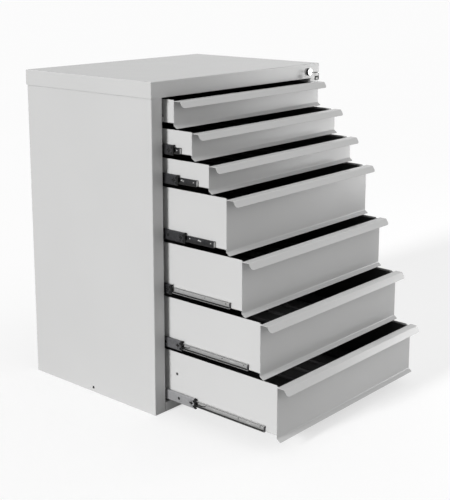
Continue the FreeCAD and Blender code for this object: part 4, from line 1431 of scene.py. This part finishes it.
@dataclass(frozen=True)
class EndCatch(RunnerPart):
    """Black plastic catches on the front ends of the intermediate members."""

    edge: float = 0.25 * MM
    gap: float = 0.5 * MM
    corner: float = 1.0 * MM
    horn_root: float = 0.5 * MM
    plate_span: Corner = (2.0 * MM, 20.0 * MM)
    plate_half: float = 10.0 * MM
    plate_corner: float = 2.0 * MM
    plate_depth: Corner = (1.8 * MM, 1.3 * MM)
    tongue_span: Corner = (19.0 * MM, 68.0 * MM)
    tongue_half: float = 6.0 * MM
    tongue_depth: Corner = (1.75 * MM, 1.35 * MM)
    tab_span: Corner = (-0.5 * MM, 4.5 * MM)
    tab_rise: Corner = (4.5 * MM, 11.0 * MM)
    tab_corner: float = 0.8 * MM
    tab_depth: Corner = (0.4 * MM, -0.7 * MM)
    bridge_overlap: Corner = (1.0 * MM, 2.6 * MM)
    bridge_half: float = 3.0 * MM
    bridge_corner: float = 0.5 * MM
    bridge_depth: Corner = (1.8 * MM, 0.4 * MM)
    boss_depth: float = 1.4 * MM
    boss: tuple[Corner, ...] = (
        (0.0, 0.0), (2.4 * MM, 0.0), (2.4 * MM, 0.9 * MM), (1.7 * MM, 1.2 * MM), (0.0, 1.2 * MM),
    )

    def build(self) -> None:
        """Black end catch: an open block with a horn on top, and the plate that shows through the cross."""
        low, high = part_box(f"mid_catches_{self.number}")
        mid_low, mid_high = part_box(f"mid_members_{self.number}")
        member_low, member_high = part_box(f"drawer_members_{self.number}")
        outer, mouth, floor = high.x, high.x - self.mid_depth, member_high.x + self.gap
        top, bottom, corner = mid_high.z, mid_low.z, self.corner
        inner_top, inner_bottom = member_high.z + self.gap, member_low.z - self.gap
        front, middle = mid_low.y, (top + bottom) / 2
        block = np.array([
            (mouth, bottom), (outer - corner, bottom), (outer, bottom + corner), (outer, top - corner),
            (outer - corner, top), (mouth, top), (mouth, inner_top), (floor, inner_top),
            (floor, inner_bottom), (mouth, inner_bottom),
        ])
        horn = rounded_loop((mouth, top - self.horn_root), (outer, high.z), corner)
        plate, tongue, tabs = (
            (front + near, front + far) for near, far in (self.plate_span, self.tongue_span, self.tab_span)
        )
        bridge = (high.y - self.bridge_overlap[0], front + self.bridge_overlap[1])
        tab_low, tab_high = self.tab_rise
        origin = (outer, middle)
        shells = [
            prism(block, low.y, high.y, Along.Y),
            prism(horn, low.y, (low.y + high.y) / 2, Along.Y),
            bar(origin, plate, (-self.plate_half, self.plate_half), self.plate_corner, self.plate_depth),
            bar(origin, tongue, (-self.tongue_half, self.tongue_half), self.plate_corner, self.tongue_depth),
            bar(origin, tabs, (-tab_high, -tab_low), self.tab_corner, self.tab_depth),
            bar(origin, tabs, (tab_low, tab_high), self.tab_corner, self.tab_depth),
            bar(origin, bridge, (-self.bridge_half, self.bridge_half), self.bridge_corner, self.bridge_depth),
            lathe(self.boss, (outer - self.boss_depth, front + self.cross_place, middle), Along.X, 18),
        ]
        make_piece(
            f"runner_catch_{self.number}", both_sides(shells), self.palette.catch, self.mid_body,
            [f"mid_catches_{self.number}"], edge=self.edge,
        )


@dataclass(frozen=True)
class DrawerMember(RunnerPart):
    """Drawer members with their stops."""

    edge: float = 0.12 * MM
    lance: float = 62.6 * MM
    lance_half: Corner = (6.5 * MM, 2.5 * MM)
    lance_corner: float = 2.0 * MM
    tongue_bulge: float = 2.2 * MM
    tongue_length: float = 11.0 * MM
    tongue_radius: float = 0.8 * MM
    stop_root: float = 2.6 * MM
    stop_bend: float = 1.2 * MM
    stop_half: float = 7.5 * MM

    @property
    def finish(self) -> bpy.types.Material:
        """Zinc of the members: with painted shade on the upper drawers, plain bright below."""
        return self.palette.dark_zinc if self.number <= self.last_dark else self.palette.zinc

    @property
    def stop_zinc_and_painted_shade(self) -> bpy.types.Material:
        """Zinc of the stops: plain bright on the upper drawers, with painted shade on the lower ones, whose front
        faces lie in shade.
        """
        return self.palette.zinc if self.number <= self.last_dark else self.palette.dark_zinc

    def build(self) -> None:
        """Drawer member: pierced channel with a lanced tongue and a front end turned out as a stop."""
        low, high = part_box(f"drawer_members_{self.number}")
        mouth, web = high.x, high.x - self.inner_depth
        middle = (low.z + high.z) / 2
        lance = low.y + self.lance
        half_y, half_z = self.lance_half
        holes = [
            ring_loop((low.y + self.end_hole, middle), self.hole_radius),
            rounded_loop((lance - half_y, middle - half_z), (lance + half_y, middle + half_z), self.lance_corner),
            ring_loop((low.y + self.small_hole, middle), self.hole_radius),
        ]
        holes += [ring_loop((low.y + place, middle), self.hole_radius) for place in self.inner_holes]
        shells = self.channel(web, mouth, (low.z, high.z), (low.y, high.y), holes)
        corners = [(web, low.y + self.stop_root), (web, low.y), (mouth, low.y)]
        stop = folded_path(corners, self.steel, [self.stop_bend], steps=5)
        bent_end = sheet_shell(*stop, self.steel, middle - self.stop_half, middle + self.stop_half, Along.Z)
        # The lower drawers' stops carry painted shade.
        make_piece(
            f"runner_stop_{self.number}", both_sides([bent_end]), self.stop_zinc_and_painted_shade, self.drawer_body
        )
        turn = np.linspace(0.0, 1.0, 7)
        tongue = np.column_stack([
            web + self.steel / 2 + self.tongue_bulge * turn**2,
            lance - half_y + self.tongue_length * turn,
            middle + half_z - 2.0 * half_z * turn,
        ])
        shells.append(bent_rod(tongue, self.tongue_radius, 8))
        make_piece(
            f"runner_inner_{self.number}", both_sides(shells), self.finish, self.drawer_body,
            [f"drawer_members_{self.number}"], edge=self.edge,
        )


@dataclass(frozen=True)
class PaintedShadowStrips(RunnerPart):
    """Painted shadow strips along the drawer members' flanges; sides count from the flanges' edge and levels from
    each flange.
    """

    ends: Corner = (3.0 * MM, 1.0 * MM)
    lower_sides: Corner = (-1.0 * MM, -0.1 * MM)
    lower_levels: Corner = (0.2 * MM, 5.4 * MM)
    lower_corner: float = 0.4 * MM
    upper_sides: Corner = (-0.6 * MM, 0.1 * MM)
    upper_levels: Corner = (-1.4 * MM, -0.05 * MM)
    upper_corner: float = 0.2 * MM
    shadow_disc_root: float = 0.1 * MM
    shadow_disc: tuple[Corner, ...] = (
        (0.0, 0.0), (1.7 * MM, 0.0), (1.7 * MM, 0.5 * MM), (1.2 * MM, 0.9 * MM), (0.0, 0.9 * MM),
    )

    def build(self) -> None:
        """Painted shadow: black strips along the drawer member's flanges, and black discs in its holes for the shade
        seen through them.
        """
        low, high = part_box(f"drawer_members_{self.number}")
        mouth, web = high.x, high.x - self.inner_depth
        middle = (low.z + high.z) / 2
        near, far = low.y + self.ends[0], high.y - self.ends[1]
        (inside, outside), (foot, head) = self.lower_sides, self.lower_levels
        lower = rounded_loop((mouth + inside, low.z + foot), (mouth + outside, low.z + head), self.lower_corner, 3)
        (inside, outside), (foot, head) = self.upper_sides, self.upper_levels
        upper = rounded_loop((mouth + inside, high.z + foot), (mouth + outside, high.z + head), self.upper_corner, 3)
        shells = [prism(loop, near, far, Along.Y) for loop in (lower, upper)]
        places = (self.end_hole, self.small_hole) if self.number > self.last_dark else self.inner_holes[:1]
        shells += [
            lathe(self.shadow_disc, (web + self.shadow_disc_root, low.y + place, middle), Along.X, 16) for place in places
        ]
        make_piece(
            f"runner_shadow_strips_{self.number}", both_sides(shells), self.palette.shadow_black, self.drawer_body,
        )


@dataclass(frozen=True)
class ReleaseLever(RunnerPart):
    """Release levers in the drawer members; their place counts from the drawer's front face."""

    front_sheet: float = 1.2 * MM
    place: float = 304.0 * MM
    length: float = 34.0 * MM
    depth: float = 3.6 * MM
    drop: float = 1.0 * MM
    dip: float = 2.2 * MM
    curl: float = 5.0 * MM
    radius: float = 1.5 * MM
    pivot_depth: float = 5.6 * MM
    pivot_setback: float = 2.0 * MM
    pivot: tuple[Corner, ...] = (
        (0.0, 0.0), (4.2 * MM, 0.0), (4.2 * MM, 1.4 * MM), (3.4 * MM, 1.9 * MM), (0.0, 1.9 * MM),
    )

    def build(self) -> None:
        """Release lever in the drawer member: a thin strip whose line dips and curls up at its free end.

        At the share t of its length the line's height is -dip * sin(0.7 * pi * t) + curl * t**3.
        """
        low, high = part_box(f"drawer_members_{self.number}")
        _, front_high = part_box(f"drawer_front_{self.number}")
        front = front_high.y - self.front_sheet
        middle = (low.z + high.z) / 2
        share = np.linspace(0.0, 1.0, 15)
        rear = front + self.place
        line = np.column_stack([
            np.full(15, high.x - self.depth),
            rear - self.length * share,
            middle - self.drop - self.dip * np.sin(share * math.pi * 0.7) + self.curl * share**3,
        ])
        thickness = self.radius * (1.0 - 0.4 * share)
        centre = (high.x - self.pivot_depth, rear + self.pivot_setback, middle)
        shells = [bent_rod(line, thickness, 10, flat=1.2), lathe(self.pivot, centre, Along.X, 20)]
        make_piece(
            f"runner_lever_{self.number}", both_sides(shells), self.palette.catch, self.drawer_body,
        )


@dataclass(frozen=True)
class Runners:
    """The pair of telescopic runners of one drawer."""

    number: int
    palette: Palette

    def build(self) -> None:
        """Make the runner's pieces for both sides."""
        for part in (MidMember, EndCatch, DrawerMember, PaintedShadowStrips, ReleaseLever):
            part(self.number, self.palette).build()


@dataclass(frozen=True)
class LockPart:
    """What the lock and its keys share."""

    palette: Palette
    key_half: float = 4.1 * MM
    key_half_thick: float = 1.0 * MM
    wire: float = 0.7 * MM


@dataclass(frozen=True)
class Cylinder(LockPart):
    """Lock barrel and plug, turned about one axis."""

    rosette: float = 12.0 * MM
    nose: float = 8.0 * MM
    shank: float = 9.0 * MM
    face_inset: float = 0.2 * MM
    face_rounding: float = 1.2 * MM
    face_bevel: float = 0.6 * MM
    face_thickness: float = 1.6 * MM
    groove: tuple[Corner, ...] = ((8.6 * MM, 0.0), (8.9 * MM, 0.5 * MM), (9.4 * MM, 0.0))
    case_inset: float = 0.4 * MM
    case_shoulder: float = 2.2 * MM
    plug: float = 6.5 * MM
    plug_edge: float = 0.25 * MM
    play: float = 0.3 * MM
    keyway_depth: float = 20.0 * MM
    keyway_corner: float = 0.5 * MM

    def build(self) -> None:
        """Make the barrel and the plug."""
        self.barrel()
        self.core()

    def barrel(self) -> None:
        """Barrel with a stepped, rounded rosette, turned about the lock's axis."""
        low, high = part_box("lock_barrel")
        centre = ((low.x + high.x) / 2, low.y, (low.z + high.z) / 2)
        bore, shank, length = self.plug + self.play, self.shank, high.y - low.y
        arc = np.linspace(0.0, math.pi / 2, 6)
        edge, rounding, back = self.rosette - self.face_inset, self.face_rounding, self.face_thickness
        round_over = [(edge - rounding + rounding * math.sin(a), rounding - rounding * math.cos(a)) for a in arc]
        face = [
            (bore, self.face_bevel), (bore + self.face_bevel, 0.0), *self.groove, *round_over,
            (edge, back), (bore, back),
        ]
        case = [
            (bore, back), (edge - self.case_inset, back), (self.rosette, self.case_shoulder),
            (self.rosette, self.nose), (shank, self.nose), (shank, length), (bore, length),
        ]
        make_piece(
            "lock_case", [lathe(case, centre, Along.Y, 48, closed=True)], self.palette.dark_tinted_chrome, "cabinet",
            ["lock_barrel"],
        )
        turned_face = lathe(face, centre, Along.Y, 48, closed=True)
        make_piece("lock_face", [turned_face], self.palette.chrome, "cabinet")

    def core(self) -> None:
        """Plug: a bevelled disc with the keyway sunk in its face, and the shaft behind it."""
        low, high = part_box("lock_plug")
        x, z = (low.x + high.x) / 2, (low.z + high.z) / 2
        half, thick = self.key_half + self.play, self.key_half_thick + self.play
        keyway = rounded_loop((x - half, z - thick), (x + half, z + thick), self.keyway_corner, 3)
        disc = ring_loop((x, z), self.plug, 40)
        bottom = low.y + self.keyway_depth
        shells = [
            plate_shell(disc, [keyway], low.y, bottom, Along.Y),
            prism(disc, bottom, high.y, Along.Y),
        ]
        make_piece(
            "lock_core", shells, self.palette.chrome, "key", ["lock_plug"], edge=self.plug_edge
        )


@dataclass(frozen=True)
class FlatKey(LockPart):
    """Key in the lock."""

    edge: float = 0.3 * MM
    tip_half: float = 0.6 * MM
    bow: float = 10.0 * MM
    bow_hole: float = 3.5 * MM
    bow_rim: float = 3.0 * MM
    bow_bead: Corner = (2.0 * MM, 1.2 * MM)
    bead_height: float = 0.3 * MM
    bead_rise: float = 0.02 * MM
    notches: tuple[float, ...] = (0.6, 1.5, 0.4, 1.8, 0.9, 1.4, 0.3)
    toothed_length: float = 17.0 * MM

    def build(self) -> None:
        """Flat key: a round bow with its hole, a shouldered stem and a toothed blade, in one outline."""
        low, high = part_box("key")
        x, z = (low.x + high.x) / 2, (low.z + high.z) / 2
        centre = low.y + self.bow
        half = self.key_half
        join = math.asin(half / self.bow)
        bow = np.linspace(math.pi / 2 + join, 2.5 * math.pi - join, 30)
        head = np.column_stack([x + self.bow * np.cos(bow), centre + self.bow * np.sin(bow)])
        tip = high.y
        notches = np.array(self.notches) * MM
        cuts = np.linspace(tip - self.toothed_length, tip - half, len(notches))
        toothed = np.column_stack([x + half - notches, cuts])
        blade = np.array([(x + self.tip_half, tip), (x - self.tip_half, tip), (x - half, tip - half)])
        outline = np.concatenate([head, toothed, blade])
        hole = ring_loop((x, low.y + self.bow_rim + self.bow_hole), self.bow_hole, 24)
        shells = [plate_shell(outline, [hole], z - self.key_half_thick, z + self.key_half_thick, Along.Z)]
        inner, outer = (self.bow - inset for inset in self.bow_bead)
        height, sunk = self.bead_height, self.bead_height - self.bead_rise
        bead = [(inner, 0.0), (outer, 0.0), (outer, height), (inner, height)]
        for level in (z - self.key_half_thick - self.bead_rise, z + self.key_half_thick - sunk):
            shells.append(lathe(bead, (x, centre, level), Along.Z, 30, closed=True))
        make_piece("flat_key", shells, self.palette.key_steel, "key", ["key"], edge=self.edge)


@dataclass(frozen=True)
class KeyRing(LockPart):
    """Ring in the key's bow."""

    def build(self) -> None:
        """Key ring: a torus, P(u, v) = centre + (R + r cos v) of the ring's plane, r sin v across it."""
        low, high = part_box("key_ring")
        centre = tuple((a + b) / 2 for a, b in zip(low, high))
        radius = (high.z - low.z) / 2 - self.wire
        angles = np.arange(12) * 2 * math.pi / 12
        profile = [(radius + self.wire * math.cos(a), self.wire * math.sin(a)) for a in angles]
        shell = lathe(profile, centre, Along.X, 48, closed=True)
        make_piece("split_ring", [shell], self.palette.key_steel, "key_ring", ["key_ring"])


@dataclass(frozen=True)
class SpareKey(LockPart):
    """Folding spare key on the ring."""

    head_corner: float = 2.6 * MM
    head_edge: float = 0.7 * MM
    head_hole: float = 2.1 * MM
    hole_gap: float = 0.6 * MM
    label_low: Corner = (2.2 * MM, 2.0 * MM)
    label_high: Corner = (12.4 * MM, 8.2 * MM)
    label_corner: float = 1.0 * MM
    label_depth: float = 0.6 * MM
    label_rise: float = 0.15 * MM
    label_edge: float = 0.1 * MM

    def build(self) -> None:
        """Folding spare key: black head with a hole for the ring, and a pale plate on each face."""
        low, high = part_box("spare_key")
        ring_low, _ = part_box("key_ring")
        hole_z = ring_low.z + self.wire * 2 + self.hole_gap - self.head_hole
        outline = rounded_loop((low.x, low.z), (high.x, high.z), self.head_corner, 6)
        hole = ring_loop(((low.x + high.x) / 2, hole_z), self.head_hole, 22)
        make_piece(
            "spare_key_head", [plate_shell(outline, [hole], low.y, high.y, Along.Y)], self.palette.catch,
            "spare_key", ["spare_key"], edge=self.head_edge,
        )
        (left, bottom), (right, top) = self.label_low, self.label_high
        window = rounded_loop((low.x + left, low.z + bottom), (low.x + right, low.z + top), self.label_corner)
        shells = [
            prism(window, low.y - self.label_rise, low.y + self.label_depth, Along.Y),
            prism(window, high.y - self.label_depth, high.y + self.label_rise, Along.Y),
        ]
        make_piece(
            "spare_key_plate", shells, self.palette.fob_plate, "spare_key", edge=self.label_edge
        )


@dataclass(frozen=True)
class Lock:
    """Lock in the cover's flange, with its bar, key, ring and folding spare key."""

    palette: Palette

    def build(self) -> None:
        """Make the lock's pieces and dress the CAD nodes that stay."""
        for part in (Cylinder, FlatKey, KeyRing, SpareKey):
            part(self.palette).build()
        for node in ("lock_nut", "lock_cam", "locking_bar"):
            dress(node, self.palette.zinc)


# ---------------------------------------------------------------- studio


@dataclass(frozen=True)
class Camera:
    """Camera place and lens."""

    place: Place = (-2.4320, -2.3378, 1.3164)
    yaw: float = 48.77
    pitch: float = 11.54
    focal_pixels: float = 1035.3
    frame_height: float = 500.0
    sensor: float = 36.0
    shift_pixels: float = 72.0

    def build(self) -> None:
        """Make the camera and use it."""
        data = bpy.data.cameras.new("camera")
        data.sensor_width = self.sensor
        data.lens = self.focal_pixels / self.frame_height * self.sensor
        data.shift_y = -self.shift_pixels / self.frame_height
        data.clip_end = 500.0
        camera = bpy.data.objects.new("camera", data)
        camera.location = self.place
        camera.rotation_euler = (math.radians(90.0 - self.pitch), 0.0, -math.radians(self.yaw))
        bpy.context.scene.collection.objects.link(camera)
        bpy.context.scene.camera = camera


@dataclass(frozen=True)
class Studio:
    """Pale floor and soft light."""

    floor_size: float = 400.0
    floor_shade: float = 0.97
    floor_bounce: Corner = (0.72, 0.26)
    floor_reach: Corner = (0.5, 1.8)
    floor_middle: Place = (0.5, -1.2, 0.0)
    floor_glow: float = 0.6
    glow_strength: float = 1.03
    cloud_scale: float = 0.7
    cloud_step: float = 0.02
    sky: float = 0.75
    horizon: float = 0.67
    side_light: Corner = (0.08, 1.46)
    front_light: Corner = (1.24, 0.74)
    backdrop: float = 1.0
    sun_heading: Corner = (20.0, -95.0)
    sun_strength: float = 3.15
    sun_softness: float = 10.0
    panel_place: Place = (2.85, -2.0, 0.66)
    panel_target: Place = (0.1, -0.5, 0.6)
    panel_extent: Corner = (1.0, 1.3)
    panel_power: float = 22.0

    def build(self) -> None:
        """Make the floor, the lights and the surrounding light."""
        self.floor()
        self.world()
        self.sun("left_sun")
        self.panel("right_softbox")

    def floor(self) -> None:
        """Plain pale floor; it sends less light back up than it shows, as a lit table under a hood does."""
        half = self.floor_size / 2
        mesh = bpy.data.meshes.new("floor")
        corners = [(-half, -half, 0.0), (half, -half, 0.0), (half, half, 0.0), (-half, half, 0.0)]
        mesh.from_pydata(corners, [], [(0, 1, 2, 3)])
        material, nodes, shader = start_material("studio_floor", 0.0, Roughness=0.8, Specular_IOR_Level=0.0)
        place = nodes.add("ShaderNodeTexCoord").outputs["Object"]
        noise = nodes.add("ShaderNodeTexNoise", Vector=place, Scale=self.cloud_scale, Detail=2.0)
        shade = (self.floor_shade,) * 3
        lighter = (self.floor_shade + self.cloud_step,) * 3
        nodes.link(nodes.mix(noise.outputs[0], shade, lighter), shader.inputs["Base Color"])
        bounce = nodes.add("ShaderNodeBsdfDiffuse")
        away = nodes.add("ShaderNodeVectorMath", operation="DISTANCE")
        nodes.link(place, away.inputs[0])
        away.inputs[1].default_value = self.floor_middle
        fade = nodes.between(away.outputs["Value"], *self.floor_bounce, self.floor_reach)
        nodes.link(fade, bounce.inputs["Color"])
        glow = nodes.add("ShaderNodeEmission", Strength=self.glow_strength)
        lit = nodes.add("ShaderNodeMixShader", Fac=self.floor_glow)
        nodes.link(shader.outputs[0], lit.inputs[1])
        nodes.link(glow.outputs[0], lit.inputs[2])
        chosen = nodes.two_shaders(bounce.outputs[0], lit.outputs[0])
        nodes.link(chosen, material.node_tree.nodes["Material Output"].inputs["Surface"])
        mesh.materials.append(material)
        floor = bpy.data.objects.new("floor", mesh)
        bpy.context.scene.collection.objects.link(floor)

    def world(self) -> None:
        """Surrounding light that changes with height, side and front, and a white backdrop for the camera.

        Its strength is rise(z) * side(x) * front(y), each a straight line over the direction's coordinate.
        """
        world = bpy.data.worlds.new("studio_light")
        world.use_nodes = True
        bpy.context.scene.world = world
        nodes = Nodes(world.node_tree)
        light = world.node_tree.nodes["Background"]
        light.inputs["Color"].default_value = (1.0, 1.0, 1.0, 1.0)
        heading = nodes.add("ShaderNodeSeparateXYZ", Vector=nodes.add("ShaderNodeTexCoord").outputs["Generated"])
        rise = nodes.between(heading.outputs["Z"], self.horizon, self.sky)
        side = nodes.between(heading.outputs["X"], *self.side_light, (-1.0, 1.0))
        front = nodes.between(heading.outputs["Y"], *self.front_light, (-1.0, 1.0))
        nodes.link(nodes.product(rise, nodes.product(side, front)), light.inputs["Strength"])
        white = nodes.add("ShaderNodeBackground", Strength=self.backdrop)
        white.inputs["Color"].default_value = (1.0, 1.0, 1.0, 1.0)
        chosen = nodes.two_shaders(light.outputs[0], white.outputs[0])
        nodes.link(chosen, world.node_tree.nodes["World Output"].inputs["Surface"])

    def sun(self, name: str) -> None:
        """Broad sun lamp; its heading is the elevation and the azimuth from -Y towards +X, in degrees.

        Args:
            name: lamp name.
        """
        lamp = bpy.data.lights.new(name, "SUN")
        lamp.energy = self.sun_strength
        lamp.angle = math.radians(self.sun_softness)
        thing = bpy.data.objects.new(name, lamp)
        elevation, azimuth = (math.radians(value) for value in self.sun_heading)
        source = Vector((
            math.sin(azimuth) * math.cos(elevation), -math.cos(azimuth) * math.cos(elevation), math.sin(elevation),
        ))
        thing.rotation_euler = source.to_track_quat("Z", "Y").to_euler()
        bpy.context.scene.collection.objects.link(thing)

    def panel(self, name: str) -> None:
        """Rectangular softbox that faces its target.

        Args:
            name: lamp name.
        """
        lamp = bpy.data.lights.new(name, "AREA")
        lamp.shape = "RECTANGLE"
        lamp.size, lamp.size_y = self.panel_extent
        lamp.energy = self.panel_power
        thing = bpy.data.objects.new(name, lamp)
        thing.location = self.panel_place
        facing = Vector(self.panel_place) - Vector(self.panel_target)
        thing.rotation_euler = facing.to_track_quat("Z", "Y").to_euler()
        bpy.context.scene.collection.objects.link(thing)


def main() -> None:
    """Build the cabinet's looks, the studio and the camera."""
    logging.basicConfig(level=logging.INFO, format="%(name)s: %(message)s")
    palette = mix_palette()
    Carcass(palette).build()
    for number in DRAWERS:
        Drawer(number, palette).build()
        Runners(number, palette).build()
    Lock(palette).build()
    Studio().build()
    Camera().build()
    bpy.context.scene.view_settings.view_transform = "Standard"


if __name__ == "__main__":
    main()
